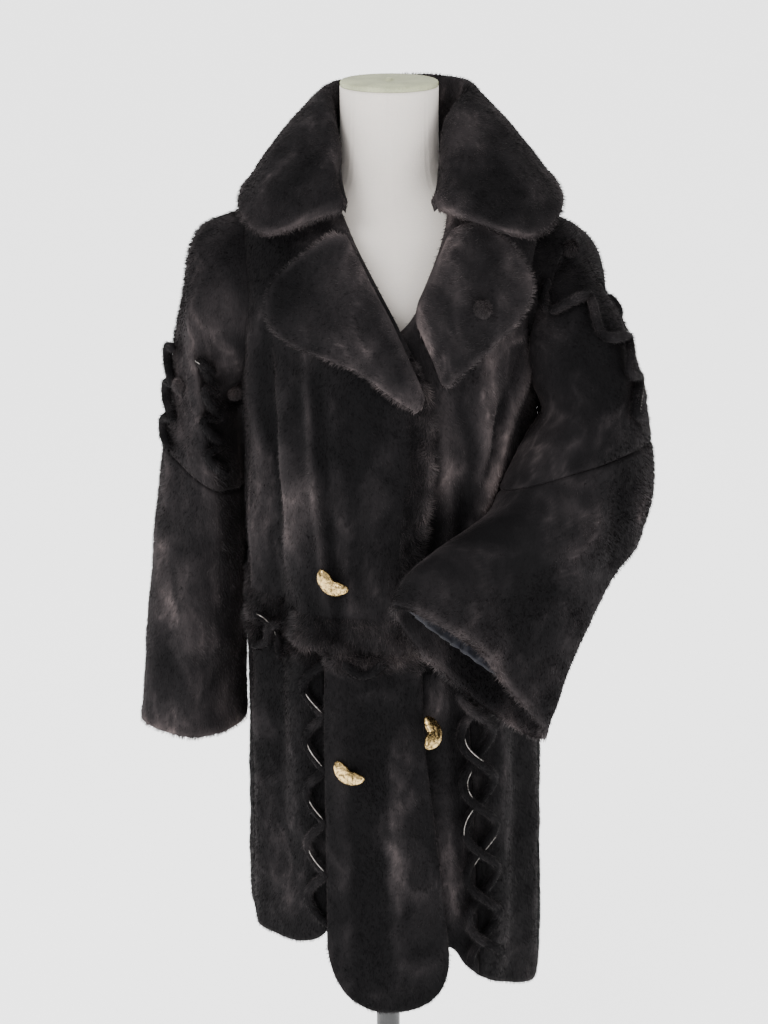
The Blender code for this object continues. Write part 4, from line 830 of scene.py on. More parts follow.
def grid_uv(rows, columns, closed):
    """Corner places from 0 to 1 on the flat pattern, for every face of a grid."""
    wide = columns + 1 if closed else columns
    across, up = np.meshgrid(np.linspace(0.0, 1.0, wide), np.linspace(0.0, 1.0, rows))
    flat = np.stack([across, up], axis=-1)
    return np.stack(corners_of(flat), axis=-2).reshape(-1, 4, 2)


def rim_of(rows, columns, closed):
    """Corner numbers round each open rim of a grid."""
    index = np.arange(rows * columns).reshape(rows, columns)
    if closed:
        return [index[0], index[-1][::-1]]
    return [np.concatenate([index[0, :-1], index[:-1, -1], index[-1, :0:-1], index[:0:-1, 0]])]


def make_wall(name, outer, inner, materials, closed=False, tone=None):
    """A closed wall between an outer and an inner grid: fur outside, second material inside."""
    rows, columns = outer.shape[:2]
    count = rows * columns
    quads = quads_of(rows, columns, closed)
    flat = grid_uv(rows, columns, closed)
    half = np.array((0.49, 0.98))
    faces = [quads, quads[:, ::-1] + count]
    uvs = [flat * half + 0.01, flat[:, ::-1] * half + np.array((0.51, 0.01))]
    for loop in rim_of(rows, columns, closed):
        after = np.roll(loop, -1)
        faces.append(np.stack([after, loop, loop + count, after + count], axis=-1))
        uvs.append(np.full((len(loop), 4, 2), 0.005))
    slots = np.concatenate([np.full(len(part), index) for part, index in
                            zip(faces, (0, 1, 0, 0))])
    points = np.concatenate([outer.reshape(-1, 3), inner.reshape(-1, 3)])
    points, faces, uvs = facing_out(points, np.concatenate(faces), np.concatenate(uvs))
    if tone is not None:
        tone = np.concatenate([tone.ravel(), tone.ravel()]) / PALETTE_STEPS
    return build_mesh(name, points, faces, materials, slots, uvs, tone=tone)


def volume_of(points, faces):
    """Signed volume inside a closed mesh of quads or triangles."""
    first = points[faces[:, 0]]
    total = 0.0
    for side in range(1, faces.shape[1] - 1):
        cross = np.cross(points[faces[:, side]], points[faces[:, side + 1]])
        total += np.einsum("ij,ij->", first, cross)
    return total / 6.0


def measure(middle, closed):
    """Width, length and area of a panel's middle surface."""
    middle = joined(middle, closed)
    across = np.linalg.norm(np.diff(middle, axis=1), axis=-1).sum(axis=1).max()
    along = np.linalg.norm(np.diff(middle, axis=0), axis=-1).sum(axis=0).max()
    return float(across), float(along), float(doubled_areas(middle).sum() / 2.0)


def declare_cloth(middle, closed):
    """Work out the cut of a panel of the coat; the result is not kept."""
    width, length, area = measure(middle, closed)
    float(np.clip(area, 0.31 * width * length, width * length))


def rim_distances(points, closed):
    """Distance along the surface from every grid point to each rim, by the rim's name."""
    along = np.linalg.norm(np.diff(points, axis=0), axis=-1)
    up = np.concatenate([np.zeros((1, points.shape[1])), np.cumsum(along, axis=0)])
    rims = {"low": up, "high": up[-1:] - up}
    if not closed:
        across = np.linalg.norm(np.diff(points, axis=1), axis=-1)
        right = np.concatenate([np.zeros((points.shape[0], 1)), np.cumsum(across, axis=1)],
                               axis=1)
        rims["first"] = right
        rims["last"] = right[:, -1:] - right
    return rims


def edge_share(points, soft, closed):
    """The share of the wall that is left near its rims, from a little to all of it."""
    share = np.ones(points.shape[:2])
    for rim, distance in rim_distances(points, closed).items():
        reach = EDGE_ROUND if rim in soft else SEAM_ROUND
        least = 0.06 if rim in soft else SEAM_SHARE
        part = 1.0 - np.clip(distance / reach, 0.0, 1.0)
        share = np.minimum(share, least + (1.0 - least) * np.sqrt(1.0 - part * part))
    return share


def edge_band(points, soft, closed, width):
    """From 1 at a free rim to 0 a width away from it."""
    rims = rim_distances(points, closed)
    nearest = np.full(points.shape[:2], 1.0)
    for rim in soft:
        nearest = np.minimum(nearest, rims[rim])
    return bell(nearest, width)


# ======================================================================================
# Settings
# ======================================================================================

class FurSettings(bpy.types.PropertyGroup):
    """The coat's fur: its pile, its lumps and tufts, and its tones."""
    blade_length: FloatProperty(
        name="Pile length", description="Length of one blade of the sheared pile",
        default=0.0060, min=0.001, max=0.02, unit="LENGTH")
    blade_width: FloatProperty(
        name="Pile width", description="Width of one blade at its root",
        default=0.00092, min=0.0002, max=0.004, unit="LENGTH")
    blade_lean: FloatProperty(
        name="Pile lean", description="How far the pile lies over, from upright",
        default=np.radians(64.0), min=0.0, max=np.radians(85.0), subtype="ANGLE",
        unit="ROTATION")
    lump_depth: FloatProperty(
        name="Lump depth", description="Depth of the soft lumps in the fur",
        default=0.0022, min=0.0, max=0.006, unit="LENGTH")
    tuft_depth: FloatProperty(
        name="Tuft depth", description="How far tufts along seams and edges stand out",
        default=0.0062, min=0.0, max=0.009, unit="LENGTH")
    # The palette's ends; the tones between them carry the pile's own tone and its painted
    # highlight and shade.
    dark: FloatVectorProperty(
        name="Darkest fur", description="Tone of the pile seen from its tips",
        default=(0.0034, 0.0031, 0.0035), size=3, min=0.0001, max=1.0, subtype="COLOR")
    pale: FloatVectorProperty(
        name="Palest fur", description="Tone of the pile where it's brushed flat",
        default=(0.1180, 0.0940, 0.0915), size=3, min=0.0001, max=1.0, subtype="COLOR")
    bodice_blades: IntProperty(
        name="Bodice blades", description="Blades of pile on the bodice",
        default=172000, min=100, max=199000)
    skirt_blades: IntProperty(
        name="Skirt blades", description="Blades of pile on the skirt",
        default=166000, min=100, max=199000)
    collar_blades: IntProperty(
        name="Collar blades", description="Blades of pile on the collar and lapels",
        default=54000, min=100, max=199000)
    sleeve_blades: IntProperty(
        name="Sleeve blades", description="Blades of pile on each sleeve",
        default=70000, min=100, max=199000)
    cord_blades: IntProperty(
        name="Cord blades", description="Blades of pile on all the cords",
        default=52000, min=100, max=199000)


class TrimSettings(bpy.types.PropertyGroup):
    """The cords, buttons and lining."""
    cord_core: FloatProperty(
        name="Cord radius", description="Radius of a fur cord under its pile",
        default=0.0054, min=0.002, max=0.007, unit="LENGTH")
    hide_radius: FloatProperty(
        name="Cut edge radius", description="Half-width of the pale cut edge of the leather",
        default=0.0005, min=0.0002, max=0.002, unit="LENGTH")
    ruche_depth: FloatProperty(
        name="Ruche depth", description="Depth of the gathers in the cuff's lining",
        default=0.0058, min=0.0, max=0.008, unit="LENGTH")
    gilt: FloatVectorProperty(
        name="Gilt", description="Colour of the buttons' metal",
        default=(0.52, 0.36, 0.15), size=3, min=0.0, max=1.0, subtype="COLOR")
    satin: FloatVectorProperty(
        name="Satin", description="Colour of the lining",
        default=(0.0085, 0.0090, 0.0150), size=3, min=0.0, max=1.0, subtype="COLOR")


class FormSettings(bpy.types.PropertyGroup):
    """The dress form and its stand."""
    linen: FloatVectorProperty(
        name="Linen", description="Colour of the form's cover",
        default=(0.845, 0.778, 0.716), size=3, min=0.0, max=1.0, subtype="COLOR")
    cap: FloatVectorProperty(
        name="Cap", description="Colour of the painted neck cap",
        default=(0.44, 0.455, 0.290), size=3, min=0.0, max=1.0, subtype="COLOR")
    stand: FloatVectorProperty(
        name="Stand", description="Colour of the painted pole and base",
        default=(0.040, 0.040, 0.041), size=3, min=0.0, max=1.0, subtype="COLOR")


class StageSettings(bpy.types.PropertyGroup):
    """The studio."""
    key_power: FloatProperty(
        name="Key light", description="Power of the main soft light from the upper left",
        default=72.0, min=0.0, max=1000.0, unit="POWER")
    fill_power: FloatProperty(
        name="Fill light", description="Power of the soft light from the right",
        default=20.0, min=0.0, max=1000.0, unit="POWER")
    top_power: FloatProperty(
        name="Top light", description="Power of the soft light from above and behind",
        default=30.0, min=0.0, max=1000.0, unit="POWER")
    sky: FloatProperty(
        name="Surroundings", description="Brightness of the white surroundings",
        default=0.80, min=0.0, max=5.0)
    floor_glow: FloatProperty(
        name="Floor glow", description="Light that the pale floor gives of itself",
        default=2.2, min=0.0, max=10.0)


def settings(group):
    """One group of the scene's settings: fur, trim, form or stage."""
    return getattr(bpy.context.scene, "coat_" + group)


def palette():
    """Tones of pile from dark to pale, each the same factor paler than the last."""
    dark = np.array(settings("fur").dark)
    pale = np.array(settings("fur").pale)
    steps = np.arange(PALETTE_STEPS + 1)[:, None] / PALETTE_STEPS
    return [tuple(map(float, tone)) for tone in dark * (pale / dark) ** steps]


def shades(colour, *factors):
    """A colour made darker or paler by each factor."""
    return [tuple(min(1.0, part * factor) for part in colour) for factor in factors]


# ======================================================================================
# Shader helper and materials
# ======================================================================================

class Value:
    """A shader output that takes part in plain arithmetic."""

    def __init__(self, tree, output):
        self.tree = tree
        self.output = output

    def join(self, operation, other, swap=False):
        """A Math node of this value and another one or a number."""
        node = self.tree.nodes.new("ShaderNodeMath")
        node.operation = operation
        pair = (other, self) if swap else (self, other)
        for socket, term in zip(node.inputs, pair):
            feed(self.tree, socket, term)
        return Value(self.tree, node.outputs[0])

    def __add__(self, other):
        return self.join("ADD", other)

    def __mul__(self, other):
        return self.join("MULTIPLY", other)

    def __sub__(self, other):
        return self.join("SUBTRACT", other)

    def __rsub__(self, other):
        return self.join("SUBTRACT", other, True)

    __radd__ = __add__
    __rmul__ = __mul__


def feed(tree, socket, term):
    """Link a value to a socket, or set the socket to a number."""
    if isinstance(term, Value):
        tree.links.new(term.output, socket)
    else:
        socket.default_value = term


class Shader:
    """A material whose nodes are made by short calls."""

    def __init__(self, name, **settings):
        self.material = bpy.data.materials.new(name)
        self.material.use_nodes = True
        self.tree = self.material.node_tree
        self.base = self.tree.nodes["Principled BSDF"]
        for label, value in settings.items():
            self.base.inputs[label.replace("_", " ")].default_value = value

    def node(self, kind, output=0, settings=(), **inputs):
        """Any node: settings are its attributes, inputs its sockets by name."""
        node = self.tree.nodes.new(kind)
        for label, value in dict(settings).items():
            setattr(node, label, value)
        for label, value in inputs.items():
            feed(self.tree, node.inputs[label.replace("_", " ")], value)
        return Value(self.tree, node.outputs[output])

    def place(self, scale=(1.0, 1.0, 1.0)):
        """Object coordinates, stretched by a scale."""
        where = self.node("ShaderNodeTexCoord", 3)
        return self.node("ShaderNodeMapping", 0, Vector=where, Scale=scale)

    def noise(self, scale, detail=3.0, stretch=(1.0, 1.0, 1.0), rough=0.55):
        """Cloudy noise from 0 to 1."""
        return self.node("ShaderNodeTexNoise", 0, Vector=self.place(stretch), Scale=scale,
                         Detail=detail, Roughness=rough)

    def ramp(self, value, stops):
        """A colour ramp through (place, colour) stops."""
        node = self.tree.nodes.new("ShaderNodeValToRGB")
        line = node.color_ramp.elements
        while len(line) < len(stops):
            line.new(0.5)
        for stop, (place, colour) in zip(line, stops):
            stop.position = place
            stop.color = (*colour, 1.0)
        feed(self.tree, node.inputs[0], value)
        return Value(self.tree, node.outputs[0])

    def bump(self, height, strength, distance):
        """A bump of the surface from a height."""
        value = self.node("ShaderNodeBump", 0, Height=height, Strength=strength,
                          Distance=distance)
        self.tree.links.new(value.output, self.base.inputs["Normal"])
        return self

    def set(self, label, value):
        """Feed a value into a socket of the finish."""
        feed(self.tree, self.base.inputs[label], value)
        return self


def fur_skin_material():
    """The coat's shell under the pile: the pile's tones, painted highlight and shade included,
    broken up by fine clumps.
    """
    shader = Shader("beaver_fur_shell", Roughness=0.85, Sheen_Weight=0.06, Sheen_Roughness=0.35)
    shader.base.inputs["Sheen Tint"].default_value = SHEEN_TINT
    shader.base.inputs["Specular IOR Level"].default_value = 0.08
    tone = shader.node("ShaderNodeAttribute", 2, (("attribute_name", "pile_tone"),))
    clump = shader.noise(95.0, 3.0, (1.0, 1.0, 0.45))
    fine = shader.noise(420.0, 3.0, (1.0, 1.0, 0.30))
    mixed = tone + clump * 0.22 + fine * 0.16 - 0.19
    stops = [(number / PALETTE_STEPS, colour) for number, colour in enumerate(palette())]
    shader.set("Base Color", shader.ramp(mixed, stops))
    return shader.bump(fine * 0.5 + clump, 0.6, 0.003).material


def pile_materials():
    """One matt finish of pile for each tone; the pale ones have more sheen."""
    tones = []
    for number, colour in enumerate(palette()):
        share = number / PALETTE_STEPS
        shader = Shader("beaver_pile_%d" % number, Roughness=0.62,
                        Sheen_Weight=0.03 + 0.45 * share, Sheen_Roughness=0.35)
        shader.base.inputs["Base Color"].default_value = (*colour, 1.0)
        shader.base.inputs["Sheen Tint"].default_value = SHEEN_TINT
        shader.base.inputs["Specular IOR Level"].default_value = 0.06 + 0.22 * share
        tones.append(shader.material)
    return tones


def satin_material():
    """Dark blue-grey lining satin with a fine weave."""
    shader = Shader("lining_satin", Sheen_Weight=0.1)
    shader.base.inputs["Specular IOR Level"].default_value = 0.25
    weave = shader.noise(900.0, 2.0, (1.0, 1.0, 0.3))
    cloud = shader.noise(22.0, 3.0)
    dark, middle, pale = shades(settings("trim").satin, 0.45, 1.0, 2.1)
    shader.set("Base Color", shader.ramp(cloud * 0.8 + weave * 0.2,
                                         ((0.32, dark), (0.55, middle), (0.75, pale))))
    shader.set("Roughness", 0.46 + weave * 0.20)
    return shader.bump(weave, 0.25, 0.0006).material


def gilt_material():
    """Hammered gilt metal, paler on its high parts and darker in its hollows."""
    shader = Shader("gilt_metal", Metallic=1.0)
    dents = shader.noise(330.0, 2.0)
    pits = shader.noise(900.0, 2.0)
    hollow_tone, dark, middle, pale = shades(settings("trim").gilt, 0.09, 0.55, 1.0, 1.5)
    shader.set("Base Color", shader.ramp(dents, ((0.33, hollow_tone), (0.40, dark), (0.50, middle),
                                                 (0.62, pale))))
    shader.set("Roughness", 0.14 + pits * 0.22)
    return shader.bump(dents * 0.8 + pits * 0.2, 0.55, 0.0008).material


def linen_material():
    """Pale linen cover of the form: plain weave with slubs and faint soiling."""
    shader = Shader("form_linen", Roughness=0.95, Sheen_Weight=0.15)
    shader.base.inputs["Specular IOR Level"].default_value = 0.15
    level = shader.noise(1400.0, 1.0, (1.0, 1.0, 0.12))
    upright = shader.noise(1400.0, 1.0, (0.12, 0.12, 1.0))
    soil = shader.noise(7.0, 4.0)
    weave = level * 0.5 + upright * 0.5
    dark, middle, pale = shades(settings("form").linen, 0.90, 1.0, 1.08)
    shader.set("Base Color", shader.ramp(soil * 0.7 + weave * 0.3,
                                         ((0.30, dark), (0.50, middle), (0.72, pale))))
    return shader.bump(weave, 0.55, 0.0009).material


def paint_material(name, colour, roughness):
    """Old satin paint with fine specks and uneven gloss."""
    shader = Shader(name)
    cloud = shader.noise(30.0, 4.0)
    speck = shader.noise(420.0, 2.0)
    dark, pale = shades(colour, 0.72, 1.25)
    shader.set("Base Color", shader.ramp(cloud * 0.65 + speck * 0.35,
                                         ((0.35, dark), (0.68, pale))))
    shader.set("Roughness", roughness + speck * 0.15)
    return shader.bump(speck, 0.15, 0.0004).material


def hide_material():
    """The pale cut edge of the leather under the fur."""
    shader = Shader("cut_hide_edge", Roughness=0.8)
    cloud = shader.noise(300.0, 2.0)
    shader.set("Base Color", shader.ramp(cloud, ((0.35, (0.30, 0.27, 0.25)),
                                                (0.65, (0.55, 0.52, 0.49)))))
    return shader.bump(cloud, 0.3, 0.0004).material


MATERIALS = {}


def materials():
    """Every material of the coat and the form, made once."""
    if not MATERIALS:
        MATERIALS.update({
            "skin": fur_skin_material(),
            "pile": pile_materials(),
            "satin": satin_material(),
            "gilt": gilt_material(),
            "linen": linen_material(),
            "cap": paint_material("cap_paint", settings("form").cap, 0.42),
            "stand": paint_material("stand_paint", settings("form").stand, 0.40),
            "hide": hide_material(),
        })
    return MATERIALS


# ======================================================================================
# Pile
# ======================================================================================

def grid_normals(points, closed):
    """Unit normals of a grid of points, turned by the cross of its two directions."""
    if closed:
        across = np.roll(points, -1, axis=1) - np.roll(points, 1, axis=1)
    else:
        across = np.gradient(points, axis=1)
    return unit(np.cross(across, np.gradient(points, axis=0)))


def at_cells(grid, row, column, down, right, closed):
    """A grid's values between the four corners of its cells."""
    after = (column + 1) % grid.shape[1] if closed else column + 1
    shape = (slice(None),) + (None,) * (grid.ndim - 2)
    right = right[shape]
    down = down[shape]
    top = grid[row, column] * (1.0 - right) + grid[row, after] * right
    low = grid[row + 1, column] * (1.0 - right) + grid[row + 1, after] * right
    return top * (1.0 - down) + low * down


def blades(batch, count, seed):
    """Points and tones of short pointed blades strewn evenly over a batch's grid.

    Each blade is a triangle from a root on the grid along the nap, turned by noise and by
    chance and leant over from the normal; tufts stand up and twist more.
    """
    chance = np.random.default_rng(seed)
    area = doubled_areas(joined(batch.outer, batch.closed))
    total = np.cumsum(area.ravel())
    cell = np.searchsorted(total, chance.random(count) * total[-1])
    row, column = np.divmod(np.clip(cell, 0, area.size - 1), area.shape[1])
    down, right = chance.random((2, count))
    root, normal, lie, shade, stand = [
        at_cells(field, row, column, down, right, batch.closed) for field in batch[:5]]
    normal = unit(normal)
    lie = unit(lie - normal * np.sum(lie * normal, axis=-1, keepdims=True))
    side = np.cross(normal, lie)
    turn = (SWIRL * cloudy(root, 0.055, 2, seed + 3)
            + STRAY_TURN * chance.standard_normal(count)
            + stand * TUFT_TWIST * lattice(root, 0.011, seed + 5))
    lie = lie * np.cos(turn)[:, None] + side * np.sin(turn)[:, None]
    lean = settings("fur").blade_lean + np.radians(
        LEAN_WAVE * lattice(root, 0.030, seed + 7)
        + STRAY_LEAN * chance.standard_normal(count) - TUFT_STAND * stand)
    along = normal * np.cos(lean)[:, None] + lie * np.sin(lean)[:, None]
    flat = unit(np.cross(along, normal))
    roll = STRAY_ROLL * chance.standard_normal(count)
    flat = flat * np.cos(roll)[:, None] + np.cross(along, flat) * np.sin(roll)[:, None]
    length = (settings("fur").blade_length * batch.long
              * (0.75 + 0.5 * chance.random(count)) * (1.0 + 0.75 * stand))
    width = settings("fur").blade_width * (0.7 + 0.6 * chance.random(count))
    base = root - normal * BLADE_SINK
    corners = np.stack([base - flat * width[:, None] / 2.0, base + flat * width[:, None] / 2.0,
                        base + along * length[:, None]], axis=1)
    shown = shade > HIDDEN / 2.0
    shade = (shade + 0.55 * chance.standard_normal(count) + 1.0 * stand
             + 0.9 * cloudy(root, 0.010, 2, seed + 13))
    return corners[shown], np.clip(np.round(shade[shown]), 0, PALETTE_STEPS).astype(int)


def tone_of(points, seed, lift=0.0):
    """How pale the pile is: brushed patches, stretched along the body and bent by noise, partly
    painted sheen, and thin streaks of painted highlight.
    """
    stretched = points * np.array((1.0, 1.0, 0.60))
    bend = np.stack([cloudy(points, BEND_SIZE, 2, seed + 20 + axis) for axis in range(3)],
                    axis=-1)
    patches = cloudy(stretched + 0.022 * bend, PATCH_SIZE, 4, seed)
    drawn_out = points * np.array((1.0, 1.0, 0.35))
    streak_noise = cloudy(drawn_out + 0.016 * bend, STREAK_SIZE, 2, seed + 31)
    # The streaks are painted highlight; lift is added as it is, and the panels and shells pass
    # their painted light from the relief in it.
    streaks = np.clip(1.0 - np.abs(streak_noise) * STREAK_SHARPNESS, 0.0, 1.0) ** 3
    return (USUAL_TONE + PATCH_TONE * patches + PALEST_TONE * np.clip(patches - 0.45, 0.0, 1.0)
            + STREAK_PAINTED_HIGHLIGHT * streaks * np.clip(0.50 + patches, 0.0, 1.0) + lift)


def crease_push(x, height):
    """How far the listed creases push the fronts out."""
    total = np.zeros(np.broadcast(x, height).shape)
    for top_x, top, mid_x, middle, low_x, low, width, depth in CREASES:
        upper = np.clip((height - middle) / (top - middle), 0.0, 1.3)
        lower = np.clip((middle - height) / (middle - low), 0.0, 1.3)
        line = mid_x + (top_x - mid_x) * upper + (low_x - mid_x) * lower
        fade = ease(height, low - CREASE_FADE, low + CREASE_FADE)
        fade = fade * (1.0 - ease(height, top - CREASE_FADE, top + CREASE_FADE))
        total = total + depth * bell(x - line, width) * fade
    return total


def lumps(points, seed):
    """Soft uneven lumps of the fur."""
    return settings("fur").lump_depth * sum(
        share * cloudy(points, size, 2, seed + index)
        for index, (size, share) in enumerate(LUMPS))


def waist_ruff(points):
    """Where the pile is pulled up into tufts along the waist seam."""
    band = bell(points[..., 2] - WAIST_HEIGHT + WAIST_TUFT_DROP, WAIST_TUFT_BAND)
    patchy = ease(cloudy(points * np.array((1.0, 1.0, 1.4)), 0.035, 2, 41), -0.55, 0.20)
    return band * patchy


# Fur waiting for its pile, by group. outer is the grid, outward its normals, nap the way the
# pile lies, tone how pale it is with its painted highlight and shade, ruff from 0 to 1 how far
# it stands up, closed whether the grid goes all round, long and dense the pile's length and
# number against the usual ones.
Batch = namedtuple("Batch", "outer outward nap tone ruff closed long dense")
PILE_BATCHES = {}


def coat_panel(name, node, first, last, low, high, columns, rows, lift, soft, seed,
               edge="", armholes=(), pale=0.0):
    """One body panel: its wall and its share of the pile."""
    share = np.linspace(0.0, 1.0, columns)[None, :]
    up = np.linspace(0.0, 1.0, rows)[:, None]
    row = low(share) * (1.0 - up) + high(share) * up
    angle = first(row) * (1.0 - share) + last(row) * share
    x = x_at(angle, row)
    height = height_at(row)
    front = np.cos(np.radians(angle)) > 0.0
    offset = lift(x, height)
    plain = body_skin(angle, row, offset)
    creases = np.where(front, crease_push(x, height), 0.0)
    relief = creases + lumps(plain, seed)
    rim = edge_distance(plain, edge)
    edge_tuft = (bell(rim, EDGE_TUFT_BAND) * (1.0 - ease(height, *EDGE_TUFT_END))
                 * ease(cloudy(plain, 0.02, 2, 7), -0.7, 0.3))
    ruff = np.maximum(waist_ruff(plain), edge_tuft)
    uneven = 0.75 + 0.6 * lattice(plain, TUFT_SIZE, seed + 2)
    relief = relief + settings("fur").tuft_depth * ruff * uneven
    share_left = edge_share(plain, soft, False)
    half = FUR_WALL / 2.0 * share_left
    middle = offset - FUR_WALL / 2.0 + relief * share_left - FUR_STAND
    outer = body_skin(angle, row, middle + half)
    inner = body_skin(angle, row, np.minimum(middle, offset - FUR_WALL / 2.0) - half)
    # Painted light: the pile is painted paler on the high parts of the relief, creases and folds
    # and darker in their low parts; pale shifts the whole panel as painted light and shade.
    painted_relief_light = (RELIEF_PAINTED_LIGHT * relief + CREASE_PAINTED_LIGHT * creases
             + FOLD_PAINTED_LIGHT * np.where(front, fold_push(angle, height), 0.0))
    tone = tone_of(outer, seed, np.clip(painted_relief_light, -1.8, 3.0)) + pale + RUFF_TONE * ruff
    # A painted highlight along the free edge.
    tone = tone + EDGE_PAINTED_HIGHLIGHT * bell(rim, EDGE_TUFT_BAND)
    made = materials()
    thing = make_wall(name, outer, inner, (made["skin"], made["satin"]), tone=tone)
    keep = np.ones(outer.shape[:2])
    for side in armholes:
        cut_armhole(thing, side)
        keep = keep * ~within_sleeve(outer, side)
    piece(thing, "beaver_fur", node)
    declare_cloth(body_skin(angle, row, offset - FUR_WALL / 2.0), False)
    normals = grid_normals(outer, False)
    if np.mean(np.sum(normals * outer * LEVEL, axis=-1)) < 0.0:
        normals = -normals
    nap = np.broadcast_to(np.array(DOWN), outer.shape)
    group = "bodice" if "bodice" in name else "skirt"
    PILE_BATCHES[group].append(
        Batch(outer, normals, nap, np.where(keep > 0.5, tone, HIDDEN),
              np.clip(ruff, 0.0, 1.0), False, 1.0, 1.0))
    add_tufts(group, outer, normals, nap, tone, keep, edge)


def add_tufts(group, outer, normals, nap, tone, keep, edge):
    """More and longer pile in the rows next to the waist seam and along a free edge."""
    waist = slice(0, TUFT_ROWS) if group == "bodice" else slice(-TUFT_ROWS, None)
    bands = [(waist, slice(None))]
    if edge:
        bands.append((slice(None), slice(0, TUFT_COLUMNS) if edge == "first"
                      else slice(-TUFT_COLUMNS, None)))
    shown = np.where((keep > 0.5) & (outer[..., 2] < EDGE_TUFT_END[1]), tone + 0.6, HIDDEN)
    stand = 0.52 + 0.40 * lattice(outer, 0.012, 5)
    for band in bands:
        PILE_BATCHES[group].append(
            Batch(outer[band], normals[band], nap[band], shown[band], stand[band],
                  False, 1.0, 2.5))


def sleeve_of(side):
    """Outer surface of one whole sleeve."""
    if side == "right":
        return sleeve_surface(SLEEVE_RIGHT, SLEEVE_FOLDS_RIGHT)
    return sleeve_surface(SLEEVE_LEFT, SLEEVE_FOLDS_LEFT)


def cut_armhole(thing, side):
    """Open the armhole in a panel: the head of the sleeve is cut out of its wall."""
    rings = sleeve_of(side)(*crossed(full_turn(48), np.linspace(0.0, ARMHOLE_ROW, 8)))
    rings = rings + unit(rings.mean(axis=1, keepdims=True) - rings) * ARMHOLE_LAP
    inward = np.array((np.where(side == "right", 1.0, -1.0) * ARMHOLE_INSET, 0.0, 0.0))
    rings = np.concatenate([rings[:1] + inward, rings])
    cutter = close_tube("armhole_form_" + side, rings, materials()["skin"])
    opening = thing.modifiers.new("armhole", "BOOLEAN")
    opening.operation = "DIFFERENCE"
    opening.object = cutter
    whole = thing.data
    thing.data = bpy.data.meshes.new_from_object(
        thing.evaluated_get(bpy.context.evaluated_depsgraph_get()))
    thing.modifiers.clear()
    bpy.data.meshes.remove(whole)
    bpy.data.objects.remove(cutter)


def within_sleeve(points, side):
    """Which points lie inside the head of a sleeve, by its centre line and oval sections."""
    rows = np.linspace(0.0, ARMHOLE_ROW, 40)
    table = SLEEVE_RIGHT if side == "right" else SLEEVE_LEFT
    centre, half, depth = sleeve_frame(table, rows)
    along = unit(np.cross(half, depth))
    away = points[..., None, :] - centre
    nearest = np.abs(np.sum(away * along, axis=-1)).argmin(axis=-1)
    away = np.take_along_axis(away, nearest[..., None, None], axis=-2)[..., 0, :]
    across = np.sum(away * half[nearest], axis=-1) / np.sum(half * half, axis=-1)[nearest]
    deep = np.sum(away * depth[nearest], axis=-1) / np.sum(depth * depth, axis=-1)[nearest]
    off = np.abs(np.sum(away * along[nearest], axis=-1))
    return (across ** 2 + deep ** 2 < 0.90) & (off < 0.02)


def edge_distance(points, edge):
    """Distance of every grid point from one upright rim, or far where none is named."""
    return rim_distances(points, False)[edge] if edge else np.full(points.shape[:2], 1.0)


def grow_pile(group, total, slot, seed):
    """Share a number of blades among a group's grids by area and build one mesh."""
    batches = PILE_BATCHES[group]
    name = "pile_" + group
    areas = [measure(batch.outer, batch.closed)[2] * batch.dense for batch in batches]
    made = [blades(batch, int(total * area / sum(areas)), seed + number)
            for number, (batch, area) in enumerate(zip(batches, areas))]
    corners, tone = map(np.concatenate, zip(*made))
    faces = np.arange(len(corners) * 3).reshape(-1, 3)
    piece(build_mesh(name, corners, faces, materials()["pile"], tone, smooth=False), slot)


def build_bodice(pile):
    """The back and the two fronts, cut away where the sleeves go in."""
    PILE_BATCHES["bodice"] = []
    waist = level_line(WAIST_HEIGHT + SEAM_GAP / 2.0)
    neck = level_line(BODY_ROWS[-1][0])
    coat_panel("coat_bodice_front_right", "bodice_front_right", side_seam(-90.0, 1.0),
               free_rim(RIGHT_EDGE), waist, neck, 66, 116, overlap_lift, ("last",), 11,
               "last", ("right",))
    # pale=1.0 paints the left front paler as painted light.
    coat_panel("coat_bodice_front_left", "bodice_front_left", free_rim(LEFT_EDGE),
               side_seam(90.0, -1.0), waist, neck, 60, 116, no_lift, ("first",), 12,
               "first", ("left",), pale=1.0)
    coat_panel("coat_bodice_back", "bodice_back", side_seam(90.0, 1.0),
               side_seam(270.0, -1.0), waist, neck, 100, 96, no_lift, (), 13,
               "", ("right", "left"))
    grow_pile("bodice", pile, "beaver_fur", 100)


